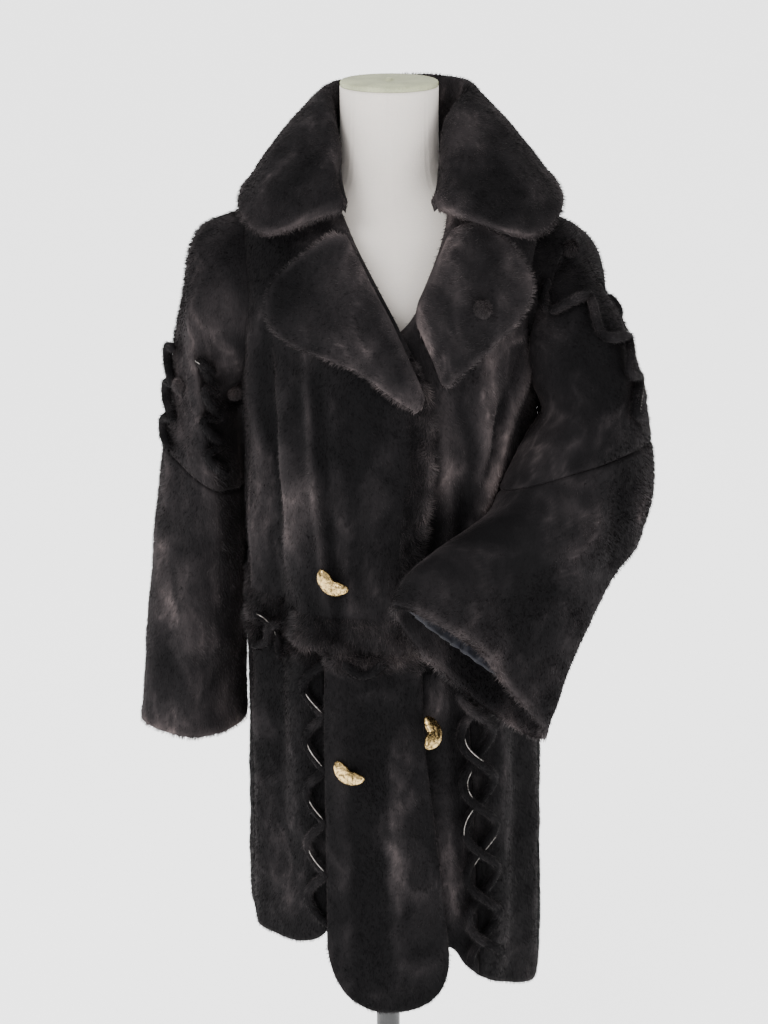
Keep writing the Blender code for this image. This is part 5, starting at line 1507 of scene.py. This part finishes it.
def build_skirt(pile):
    """The five panels below the waist seam."""
    PILE_BATCHES["skirt"] = []
    waist = level_line(WAIST_HEIGHT - SEAM_GAP / 2.0)
    # The pale values paint four skirt panels darker as painted shade, the side panels most.
    coat_panel("coat_skirt_side_right", "skirt_side_right", side_seam(-90.0, 1.0),
               seam_rim(RIGHT_SEAM_X, RIGHT_SEAM_X, -1.0), hem_line(HEM_SIDE_RIGHT), waist,
               46, 92, no_lift, ("low",), 14, pale=-1.6)
    coat_panel("coat_skirt_centre_right", "skirt_centre_right",
               seam_rim(RIGHT_SEAM_X, RIGHT_SEAM_X, 1.0), free_rim(RIGHT_EDGE),
               hem_line(HEM_CENTRE_RIGHT), waist, 38, 104, full_lift,
               ("low", "first", "last"), 15, pale=-0.9)
    coat_panel("coat_skirt_centre_left", "skirt_centre_left", free_rim(LEFT_EDGE),
               seam_rim(LEFT_SEAM_TOP_X, LEFT_SEAM_LOW_X, -1.0), hem_line(HEM_CENTRE_LEFT),
               waist, 36, 90, no_lift, ("low", "first"), 16,
               pale=-0.9)
    coat_panel("coat_skirt_side_left", "skirt_side_left",
               seam_rim(LEFT_SEAM_TOP_X, LEFT_SEAM_LOW_X, 1.0), side_seam(90.0, -1.0),
               hem_line(HEM_SIDE_LEFT), waist, 44, 104, no_lift, ("low",), 17,
               pale=-1.8)
    coat_panel("coat_skirt_back", "skirt_back", side_seam(90.0, 1.0),
               side_seam(270.0, -1.0), hem_line(HEM_BACK), waist, 88, 92, no_lift, ("low",),
               18)
    grow_pile("skirt", pile, "beaver_fur", 200)


# ======================================================================================
# Collar, lapels and sleeves
# ======================================================================================

def shell_piece(name, node, plain, outward, soft, seed, group, closed=False,
                relief=0.0, lift=0.0, settle=None, turned_in=0, pale=0.0, inside="satin"):
    """A free-standing shell of fur: collar, lapel or sleeve tube.

    plain is the coat's outer face and outward the way out of it; turned_in rows at the high
    rim are fur on their inner side too.
    """
    share_left = edge_share(plain, soft, closed)
    rim = edge_band(plain, soft, closed, RIM_WIDTH)
    push = (relief + lumps(plain, seed) + ROLL_DEPTH * rim) * share_left
    half = FUR_WALL / 2.0 * share_left
    centre = lift - FUR_WALL / 2.0 - FUR_STAND + push
    outer = plain + outward * (centre + half)[..., None]
    if settle is not None:
        outer = rested(outer, settle)
    thick = centre + half - (lift - FUR_WALL / 2.0 - half)
    inner = outer - outward * thick[..., None]
    # Painted light: the pile is painted paler on the sleeves' folds, the lumps' tops and the
    # rolled rim and darker in the hollows; pale shifts the whole piece as painted light and shade.
    painted_relief_light = SLEEVE_FOLD_PAINTED_LIGHT * relief + LUMP_PAINTED_LIGHT * lumps(plain, seed)
    tone = tone_of(outer, seed, np.clip(painted_relief_light, -1.5, 2.2)) + pale + RIM_PAINTED_HIGHLIGHT * rim
    made = materials()
    thing = make_wall(name, outer, inner, (made["skin"], made[inside]), closed, tone)
    if turned_in:
        faces = quads_of(*outer.shape[:2], closed).shape[0]
        slots = np.zeros(len(thing.data.polygons), dtype=np.int32)
        thing.data.polygons.foreach_get("material_index", slots)
        slots[2 * faces - turned_in * outer.shape[1]:2 * faces] = 0
        thing.data.polygons.foreach_set("material_index", slots)
    piece(thing, "beaver_fur", node)
    declare_cloth(plain + outward * (lift - FUR_WALL / 2.0), closed)
    nap = np.gradient(plain, axis=0)
    stand = np.clip(0.35 * rim * ease(cloudy(plain, 0.018, 2, seed + 4), -0.6, 0.3), 0.0, 1.0)
    fur = Batch(outer, outward, nap, tone, stand, closed, 0.9, 1.0)
    PILE_BATCHES[group].append(fur)
    if turned_in:
        cuff = slice(-turned_in, None)
        PILE_BATCHES[group].append(fur._replace(
            outer=inner[cuff], outward=-outward[cuff], nap=nap[cuff], tone=tone[cuff],
            ruff=stand[cuff]))


def build_collar(pile):
    """The turned-over collar and the two lapels."""
    PILE_BATCHES["collar"] = []
    round_neck, up_stand, down_fall = COLLAR_GRID
    around, across = crossed(
        np.linspace(COLLAR_ROWS[0][0], COLLAR_ROWS[-1][0], round_neck),
        np.concatenate([np.linspace(0.0, 3.0, up_stand)[:-1], np.linspace(3.0, 5.0, down_fall)]))
    plain = moved_out(collar_surface, around, across, 0.0)
    outward = moved_out(collar_surface, around, across, 1.0) - plain
    # pale=0.3 paints the collar a little paler as painted light.
    shell_piece("coat_collar", "collar", plain, outward, ("high", "first", "last"), 21,
                "collar", lift=FUR_WALL / 2.0, pale=0.3,
                inside="skin")
    for side, table, lift, way, seed in (
            ("right", LAPEL_RIGHT, OVERLAP_LIFT + FUR_WALL + LAPEL_GAP, -1.0, 22),
            ("left", LAPEL_LEFT, FUR_WALL + LAPEL_GAP, 1.0, 23)):
        place, share = crossed(np.linspace(0.0, len(table) - 1.0, LAPEL_GRID[0]),
                               np.linspace(0.0, 1.0, LAPEL_GRID[1]))
        surface = lapel_surface(table, lift)
        plain = moved_out(surface, place, share, 0.0, SHARE_STEPS)
        outward = way * (moved_out(surface, place, share, 1.0, SHARE_STEPS) - plain)
        # pale paints the lapels paler as painted light, the left one most.
        shell_piece("coat_lapel_" + side, "lapel_" + side, plain, outward,
                    ("low", "high", "first", "last"), seed,
                    "collar",
                    pale=0.5 if side == "right" else 1.1, inside="skin")
    grow_pile("collar", pile, "beaver_fur", 300)


def build_sleeves(pile):
    """Upper and lower piece of both sleeves, turned in with fur at the cuffs."""
    for side, table, cut in (("right", SLEEVE_RIGHT, SLEEVE_CUT_RIGHT),
                             ("left", SLEEVE_LEFT, SLEEVE_CUT_LEFT)):
        PILE_BATCHES["sleeve_" + side] = []
        surface = sleeve_of(side)
        last = len(table) - 1.0
        for part, first, end, soft, turned_in in (
                ("upper", 0.0, cut - SLEEVE_SEAM_ROWS, (), 0),
                ("lower", cut + SLEEVE_SEAM_ROWS, last, ("high",), CUFF_ROWS)):
            angle, row = crossed(full_turn(SLEEVE_GRID[0]),
                                 np.linspace(first, end, SLEEVE_GRID[1]))
            if (side, part) == ("left", "lower"):
                rim = surface(angle[-1:], row[-1:])
                faces = unit(rim - rim.mean(axis=1, keepdims=True)) @ np.array(CUFF_OPENS)
                drawn = CUFF_DRAW * np.clip(faces, 0.0, 1.0) ** 1.3
                row = row - drawn * ease(row, last - 2.0, last)
            plain = surface(angle, row)
            outward = unit(plain - plain.mean(axis=1, keepdims=True))
            folds = 0.0030 * cloudy(plain * np.array((1.0, 1.0, 0.35)), 0.05, 2, 61)
            toward = 1.0 if side == "right" else -1.0
            rest = SLEEVE_REST_PUSH * np.clip(outward[..., 0] * toward, 0.0, 1.0)
            folds = folds + rest * ease(row, 1.5, 2.5)
            # pale paints the right sleeve paler as painted light and the left one darker as
            # painted shade.
            shell_piece("coat_sleeve_%s_%s" % (part, side), "sleeve_%s_%s" % (part, side),
                        plain, outward, soft, 31 + len(part + side),
                        "sleeve_" + side, closed=True, relief=folds,
                        settle=ease(row, *SLEEVE_REST_RINGS), turned_in=turned_in,
                        pale=1.1 if side == "right" else -0.3,
                        inside="skin" if part == "upper" else "satin")
        grow_pile("sleeve_" + side, pile, "beaver_fur", 400)


def build_cuff_lining():
    """The gathered satin inside the left cuff, sewn to the turned-in fur."""
    surface = sleeve_of("left")
    angle, row = crossed(full_turn(LINING_GRID[0]),
                         np.linspace(LINING_START, LINING_END, LINING_GRID[1]))
    wave = (np.radians(angle) * RUCHES + 1.6 * np.sin(np.radians(angle) * 3.0 + row)
            + 1.1 * np.sin(np.radians(angle) * 7.0 - 3.0 * row))
    gather = (settings("trim").ruche_depth * (0.5 + 0.5 * np.cos(wave))
              * (0.6 + 0.4 * np.sin(9.0 * row)))
    fur = surface(angle, row)
    toward = unit(fur.mean(axis=1, keepdims=True) - fur)
    crumple = 0.0026 * lattice(fur, 0.007, 3) + 0.0030 * lattice(fur, 0.014, 4)
    depth = FUR_WALL + LINING_CLEARANCE + gather + np.abs(crumple)
    outer = fur + toward * depth[..., None]
    satin = materials()["satin"]
    thing = make_wall("coat_cuff_lining_left", outer, outer + toward * LINING_WALL,
                      (satin, satin), True)
    piece(thing, "lining_cloth", "cuff_lining_left")
    declare_cloth(fur + toward * (FUR_WALL + LINING_CLEARANCE), True)


# ======================================================================================
# Fur cords
# ======================================================================================

def tube_along(path, radius, sides):
    """A tube round a path with rounded ends: its grid of points and its normals."""
    tangent = unit(np.gradient(path, axis=0))
    out = unit(path * LEVEL)
    side = unit(np.cross(tangent, out))
    up = np.cross(side, tangent)
    turn = full_turn(sides, 2.0 * np.pi)[None, :, None]
    ring = side[:, None] * np.cos(turn) + up[:, None] * np.sin(turn)
    step = np.linalg.norm(np.diff(path, axis=0), axis=-1)
    along = np.concatenate([[0.0], np.cumsum(step)])
    end = np.minimum(along, along[-1] - along) / radius
    taper = np.sqrt(1.0 - (1.0 - np.clip(end, 0.0, 1.0)) ** 2)
    taper = taper * (1.0 - CORD_END_LEAST) + CORD_END_LEAST
    size = radius * taper * (1.0 + 0.10 * lattice(path, 0.018, 5))
    return path[:, None] + ring * size[:, None, None], ring


def loop_places(loops):
    """Loop numbers at the points along a cord, whole ones where it touches its seam."""
    return np.linspace(0.0, loops, loops * CORD_POINTS + 1)


def cord_paths():
    """Middle lines of every fur cord, by the name of the solid that it stands for."""
    paths = {}
    top, low = RIGHT_LACING_HEIGHTS
    loops = round((top - low) / LOOP_LENGTH)
    share = loop_places(loops)
    row = row_where(BODY_ROWS, top + (low - top) * share / loops)
    clear = EDGE_BULGE - CORD_RADIUS / 2.0
    x = RIGHT_SEAM_X - clear - LACING_REACH * scallop(share)
    lie = np.full_like(row, CORD_RADIUS + REST_GAP)
    paths["skirt_lacing_right"] = body_skin(angle_at(x, row), row, lie)

    def down_left(part, sway, lift):
        first_height, last_height = LEFT_LACING_HEIGHTS
        height = first_height + (last_height - first_height) * part
        fall = np.clip((WAIST_HEIGHT - height) / SKIRT_LENGTH, 0.0, 1.0)
        across = LEFT_SEAM_TOP_X + (LEFT_SEAM_LOW_X - LEFT_SEAM_TOP_X) * fall + sway
        place = row_where(BODY_ROWS, height)
        return body_skin(angle_at(across, place), place, lift)

    def round_waist(part, sway, lift):
        first_angle, last_angle = WAIST_CROSSING_ANGLES
        place = row_where(BODY_ROWS, WAIST_HEIGHT + sway)
        return body_skin(first_angle + (last_angle - first_angle) * part, place, lift)

    for name, line, count, reach in (
            ("skirt_lacing_left", down_left, LEFT_LACING_LOOPS, LACING_REACH * LEFT_REACH_SHARE),
            ("waist_crossing", round_waist, 1.0, WAIST_CROSSING_REACH)):
        turns = np.linspace(0.5, 0.5 + count, int(round(count * CORD_POINTS)) + 1)
        over = 2.0 * CORD_RADIUS + REST_GAP
        for label, way in (("a", 1.0), ("b", -1.0)):
            sway = way * reach * np.sin(np.pi * turns)
            lift = (CORD_RADIUS + REST_GAP
                    + over * (0.5 + way * 0.5 * np.cos(np.pi * turns)))
            paths[name + "_" + label] = line((turns - 0.5) / count, sway, lift)

    for name, first, last, loops, base_lift in WAIST_CORDS:
        share = loop_places(loops)
        row = row_where(BODY_ROWS, WAIST_HEIGHT - CORD_RADIUS - WAIST_REACH * scallop(share))
        angle = first + (last - first) * share / loops
        paths[name] = body_skin(angle, row, np.full_like(row, base_lift + CORD_RADIUS + REST_GAP))

    for name, side, angle_top, angle_low, first, last, loops, reach in SLEEVE_CORDS:
        share = loop_places(loops)
        row = first + (last - first) * share / loops
        angle = angle_top + (angle_low - angle_top) * share / loops + reach * scallop(share)
        lift = CORD_RADIUS + SLEEVE_CORD_PUFF * scallop(share)
        paths[name] = moved_out(sleeve_of(side), angle, row, lift)
    return paths


def front_of(grid, x, height):
    """The point of a grid that lies foremost near a place seen from the front."""
    points = grid.reshape(-1, 3)
    near = np.hypot(points[:, 0] - x, points[:, 2] - height)
    return points[np.argmin(np.where(near < near.min() + KNOT_REACH, points[:, 1], 1.0))]


def build_cords(pile):
    """All the looped and crossing fur cords, their pile and the pale cut edges on them."""
    made = materials()
    core = settings("trim").cord_core
    PILE_BATCHES["cords"] = []
    paths = cord_paths()
    for name, path in paths.items():
        grid, ring = tube_along(path, core, CORD_SIDES)
        tone = tone_of(grid, 51, -0.3) + 1.2 * lattice(grid, 0.010, 8)
        thing = close_tube("coat_" + name, grid, made["skin"], tone)
        piece(thing, "cord_fur", name)
        tangent = np.broadcast_to(unit(np.gradient(path, axis=0))[:, None], grid.shape)
        PILE_BATCHES["cords"].append(
            Batch(grid, ring, tangent, tone, np.full(grid.shape[:2], 0.30), True, 0.75, 1.6))
    for number, (group, index, x, height, radius) in enumerate(KNOTS, start=1):
        middle = front_of(PILE_BATCHES[group][index].outer, x, height)
        middle = middle - np.array((0.0, radius * (1.0 - KNOT_SINK), 0.0))
        turn, up = crossed(full_turn(20, 2.0 * np.pi), np.linspace(0.02, np.pi - 0.02, 14))
        ball = np.stack([np.sin(up) * np.cos(turn), np.sin(up) * np.sin(turn), np.cos(up)],
                        axis=-1)
        grid = ball * radius + middle
        tone = tone_of(grid, 71, 1.5)
        piece(close_tube("coat_knot_%d" % number, grid, made["skin"], tone), "cord_fur")
        PILE_BATCHES["cords"].append(
            Batch(grid, ball, np.gradient(grid, axis=0), tone,
                  np.full(grid.shape[:2], 0.35), True, 0.75, 7.0))
    grow_pile("cords", pile, "cord_fur", 500)
    parts = []
    for name, first, last, side in HIDE_EDGES:
        path = paths[name]
        tangent = unit(np.gradient(path, axis=0))
        out = unit(path * LEVEL)
        across = unit(np.cross(out, tangent)) * side
        line = (path + across * core * HIDE_ASIDE + out * core * HIDE_OUT)[
            int(first * CORD_POINTS):int(last * CORD_POINTS) + 1]
        parts.append(tube_arrays(tube_along(line, settings("trim").hide_radius, 6)[0]))
    starts = np.cumsum([0] + [len(part[0]) for part in parts[:-1]])
    points = np.concatenate([part[0] for part in parts])
    faces = np.concatenate([part[1] + start for part, start in zip(parts, starts)])
    uvs = np.concatenate([part[2] for part in parts])
    piece(build_mesh("coat_hide_edges", points, faces, (made["hide"],), None, uvs), "cord_fur")


def tube_arrays(grid):
    """Points, outward triangles and flat places of a tube whose ends are closed."""
    rows, sides = grid.shape[:2]
    quads = quads_of(rows, sides, True)
    flat = grid_uv(rows, sides, True)
    first = np.arange(sides)
    after = np.roll(first, -1)
    last = (rows - 1) * sides
    low = rows * sides
    points = np.concatenate([grid.reshape(-1, 3), grid[0].mean(axis=0)[None],
                             grid[-1].mean(axis=0)[None]])
    faces = np.concatenate([
        quads[:, (0, 1, 2)], quads[:, (0, 2, 3)],
        np.stack([after, first, np.full(sides, low)], axis=-1),
        np.stack([last + first, last + after, np.full(sides, low + 1)], axis=-1)])
    uvs = np.concatenate([flat[:, (0, 1, 2)], flat[:, (0, 2, 3)],
                          np.full((2 * sides, 3, 2), 0.005)])
    return facing_out(points, faces, uvs)


def close_tube(name, grid, material, tone=None):
    """A tube whose ends are closed by a point each."""
    points, faces, uvs = tube_arrays(grid)
    if tone is not None:
        tone = np.concatenate([tone.ravel(), tone[0, :1], tone[-1, :1]]) / PALETTE_STEPS
    return build_mesh(name, points, faces, (material,), None, uvs, tone=tone)


# ======================================================================================
# Buttons, form and stand
# ======================================================================================

def build_buttons():
    """Three hammered, bean-shaped gilt buttons."""
    gilt = materials()["gilt"]
    around, up = crossed(full_turn(64, 2.0 * np.pi), np.linspace(0.001, np.pi - 0.001, 34))
    along = np.cos(up)
    round_off = (1.0 - np.abs(along) ** 2.8) ** 0.44
    across = round_off * np.cos(around)
    out = round_off * np.sin(around)
    bend = BUTTON_BEND * BUTTON_WIDTH * along * along
    notch = BUTTON_NOTCH * bell(along, 0.20) * np.clip(across, 0.0, 1.0)
    ball = np.stack([along * BUTTON_LENGTH / 2.0, across * BUTTON_WIDTH / 2.0 + bend - notch,
                     out * BUTTON_THICKNESS / 2.0], axis=-1)
    for number, (x, height, turn, lean, rear) in enumerate(BUTTONS, start=1):
        dent = (0.00045 * lattice(ball, 0.0070, number)
                + 0.00018 * lattice(ball, 0.0028, number + 9)
                - 0.0008 * bell(across - 0.15, 0.18) * (out > 0.0))
        shape = ball + unit(ball) * dent[..., None]
        tilt = np.radians(lean)
        reach = np.hypot(BUTTON_WIDTH * 0.75 * np.sin(tilt), BUTTON_THICKNESS / 2.0 * np.cos(tilt))
        reach = np.hypot(reach, BUTTON_LENGTH / 2.0 * np.sin(np.radians(rear)))
        row = row_where(BODY_ROWS, np.array([height]))
        angle = angle_at(np.array([x]), row)
        place = body_skin(angle, row, np.array([OVERLAP_LIFT + reach + BUTTON_STANDOFF]))[0]
        facing = Vector(unit(place - body_skin(angle, row, np.array([-1.0]))[0]))
        right = Vector((0.0, 0.0, 1.0)).cross(facing).normalized()
        upward = facing.cross(right)
        spin = (Euler((0.0, 0.0, np.radians(turn))).to_matrix()
                @ Euler((np.radians(lean), np.radians(rear), 0.0)).to_matrix())
        turned_to = np.array(spin).T @ np.array((right, upward, facing))
        thing = close_tube("coat_button_%d" % number, shape @ turned_to + place, gilt)
        piece(thing, "gilt_metal", "button_%d" % number)


def build_form():
    """The linen-covered torso with its sewn seams, and the painted cap on its neck."""
    made = materials()
    angle, row = crossed(full_turn(FORM_GRID[0]),
                         np.linspace(0.0, len(FORM_ROWS) - 1.0, FORM_GRID[1]))
    points = oval_points(FORM_ROWS, angle, row, FORM_POWER)
    seam = np.zeros(points.shape[:2])
    for place in FORM_SEAMS:
        reach = np.hypot(points[..., 0], points[..., 1]) * np.radians(wrapped(angle - place))
        seam += FORM_SEAM_RIDGE[0] * bell(reach, FORM_SEAM_RIDGE[1])
        seam -= FORM_SEAM_LINE[0] * bell(reach, FORM_SEAM_LINE[1])
    outward = unit(points * LEVEL)
    points = points + outward * (seam - FORM_INSET)[..., None]
    piece(close_tube("form_cover", points, made["linen"]), "form_linen", "form_torso")

    low = FORM_ROWS[-1][0] + METAL_GAP
    profile = np.array((
        (CAP_RADIUS - 0.0004, low), (CAP_RADIUS, low + 0.0010),
        (CAP_RADIUS, CAP_TOP - CAP_ROUND), (CAP_RADIUS - 0.0005, CAP_TOP - 0.0008),
        (CAP_RADIUS - CAP_ROUND, CAP_TOP), (0.030, CAP_TOP + 0.0002), (0.0075, CAP_TOP + 0.0002),
        (0.0070, CAP_TOP - 0.0004), (0.0044, CAP_TOP - 0.0004), (0.0040, CAP_TOP + 0.0022),
        (0.0030, CAP_TOP + 0.0030), (0.0010, CAP_TOP + 0.0030)))
    turn = full_turn(96, 2.0 * np.pi)[None, :]
    cap = np.stack([profile[:, :1] * np.sin(turn), -profile[:, :1] * np.cos(turn),
                    profile[:, 1:] + 0.0 * turn], axis=-1)
    piece(close_tube("form_neck_cap", cap, made["cap"]), "cap_paint", "form_cap")


def build_stand():
    """The pole and base keep their solids and take a speckled paint."""
    for name in ("stand_pole", "stand_base"):
        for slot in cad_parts[name].material_slots:
            slot.material = materials()["stand"]


def build_stage():
    """Pale floor, soft studio light and the camera at the photograph's angle."""
    bpy.ops.mesh.primitive_plane_add(size=30.0, location=(0.0, 0.0, -0.0005))
    floor = bpy.context.object
    floor.name = "stage_floor"
    shader = Shader("stage_pale", Roughness=0.9)
    cloud = shader.noise(1.5, 2.0)
    shader.set("Base Color", shader.ramp(cloud, ((0.3, (0.88, 0.88, 0.88)),
                                                (0.7, (0.91, 0.91, 0.91)))))
    shader.base.inputs["Emission Color"].default_value = (1.0, 1.0, 1.0, 1.0)
    shader.base.inputs["Emission Strength"].default_value = settings("stage").floor_glow
    floor.data.materials.append(shader.material)

    world = bpy.data.worlds.new("studio")
    bpy.context.scene.world = world
    world.use_nodes = True
    back = world.node_tree.nodes["Background"]
    back.inputs[0].default_value = (1.0, 1.0, 1.0, 1.0)
    back.inputs[1].default_value = settings("stage").sky
    for name, place, aim, size in LIGHTS:
        lamp = bpy.data.lights.new(name + "_light", "AREA")
        lamp.size = size
        lamp.energy = getattr(settings("stage"), name + "_power")
        thing = bpy.data.objects.new(name + "_light", lamp)
        thing.location = place
        thing.rotation_euler = (Vector(aim) - Vector(place)).to_track_quat("-Z", "Y").to_euler()
        bpy.context.scene.collection.objects.link(thing)

    lens = bpy.data.cameras.new("photo_camera")
    lens.sensor_fit = "VERTICAL"
    lens.sensor_height = SENSOR_HEIGHT
    lens.lens = FOCAL_PIXELS / PHOTO_HEIGHT * SENSOR_HEIGHT
    camera = bpy.data.objects.new("photo_camera", lens)
    camera.location = CAMERA_PLACE
    camera.rotation_euler = (np.radians(90.0 - CAMERA_DIP), 0.0, 0.0)
    bpy.context.scene.collection.objects.link(camera)
    bpy.context.scene.camera = camera


# ======================================================================================
# Operators, panel and the whole model
# ======================================================================================

class COAT_OT_bodice(bpy.types.Operator):
    """Build the back and the two fronts with their pile"""
    bl_idname = "coat.bodice"
    bl_label = "Bodice"

    def execute(self, context):
        build_bodice(settings("fur").bodice_blades)
        return {"FINISHED"}


class COAT_OT_skirt(bpy.types.Operator):
    """Build the five skirt panels with their pile"""
    bl_idname = "coat.skirt"
    bl_label = "Skirt"

    def execute(self, context):
        build_skirt(settings("fur").skirt_blades)
        return {"FINISHED"}


class COAT_OT_collar(bpy.types.Operator):
    """Build the collar and the two lapels with their pile"""
    bl_idname = "coat.collar"
    bl_label = "Collar and lapels"

    def execute(self, context):
        build_collar(settings("fur").collar_blades)
        return {"FINISHED"}


class COAT_OT_sleeves(bpy.types.Operator):
    """Build the upper and lower pieces of both sleeves with their pile"""
    bl_idname = "coat.sleeves"
    bl_label = "Sleeves"

    def execute(self, context):
        build_sleeves(settings("fur").sleeve_blades)
        return {"FINISHED"}


class COAT_OT_cuff_lining(bpy.types.Operator):
    """Build the gathered satin in the left cuff"""
    bl_idname = "coat.cuff_lining"
    bl_label = "Cuff lining"

    def execute(self, context):
        build_cuff_lining()
        return {"FINISHED"}


class COAT_OT_cords(bpy.types.Operator):
    """Build the fur cords and knots; the sleeves and lapels come first"""
    bl_idname = "coat.cords"
    bl_label = "Cords"

    def execute(self, context):
        build_cords(settings("fur").cord_blades)
        return {"FINISHED"}


class COAT_OT_buttons(bpy.types.Operator):
    """Build the three hammered gilt buttons"""
    bl_idname = "coat.buttons"
    bl_label = "Buttons"

    def execute(self, context):
        build_buttons()
        return {"FINISHED"}


class COAT_OT_form(bpy.types.Operator):
    """Build the linen-covered form and its neck cap"""
    bl_idname = "coat.form"
    bl_label = "Dress form"

    def execute(self, context):
        build_form()
        return {"FINISHED"}


class COAT_OT_stand(bpy.types.Operator):
    """Paint the pole and the base"""
    bl_idname = "coat.stand"
    bl_label = "Stand"

    def execute(self, context):
        build_stand()
        return {"FINISHED"}


class COAT_OT_stage(bpy.types.Operator):
    """Set up the floor, the lights and the camera"""
    bl_idname = "coat.stage"
    bl_label = "Stage"

    def execute(self, context):
        build_stage()
        return {"FINISHED"}


PROPERTY_GROUPS = {"fur": FurSettings, "trim": TrimSettings, "form": FormSettings,
                   "stage": StageSettings}
OPERATORS = (COAT_OT_bodice, COAT_OT_skirt, COAT_OT_collar, COAT_OT_sleeves,
             COAT_OT_cuff_lining, COAT_OT_cords, COAT_OT_buttons, COAT_OT_form,
             COAT_OT_stand, COAT_OT_stage)


class COAT_PT_panel(bpy.types.Panel):
    """The settings and the operators in the order in which they run"""
    bl_idname = "COAT_PT_panel"
    bl_label = "Fur coat"
    bl_space_type = "VIEW_3D"
    bl_region_type = "UI"
    bl_category = "Coat"

    def draw(self, context):
        for group, kind in PROPERTY_GROUPS.items():
            box = self.layout.box()
            box.label(text=group.capitalize())
            for name in kind.__annotations__:
                box.prop(settings(group), name)
        for operator in OPERATORS:
            self.layout.operator(operator.bl_idname)


def register():
    for kind in (*PROPERTY_GROUPS.values(), *OPERATORS, COAT_PT_panel):
        bpy.utils.register_class(kind)
    for group, kind in PROPERTY_GROUPS.items():
        setattr(bpy.types.Scene, "coat_" + group, PointerProperty(type=kind))


def unregister():
    for group in PROPERTY_GROUPS:
        delattr(bpy.types.Scene, "coat_" + group)
    for kind in reversed((*PROPERTY_GROUPS.values(), *OPERATORS, COAT_PT_panel)):
        bpy.utils.unregister_class(kind)


def main():
    """Register and build every group in order."""
    register()
    bpy.ops.coat.bodice()
    bpy.ops.coat.skirt()
    bpy.ops.coat.collar()
    bpy.ops.coat.sleeves()
    bpy.ops.coat.cuff_lining()
    bpy.ops.coat.cords()
    bpy.ops.coat.buttons()
    bpy.ops.coat.form()
    bpy.ops.coat.stand()
    bpy.ops.coat.stage()
    bpy.context.view_layer.update()


if __name__ == "__main__":
    main()
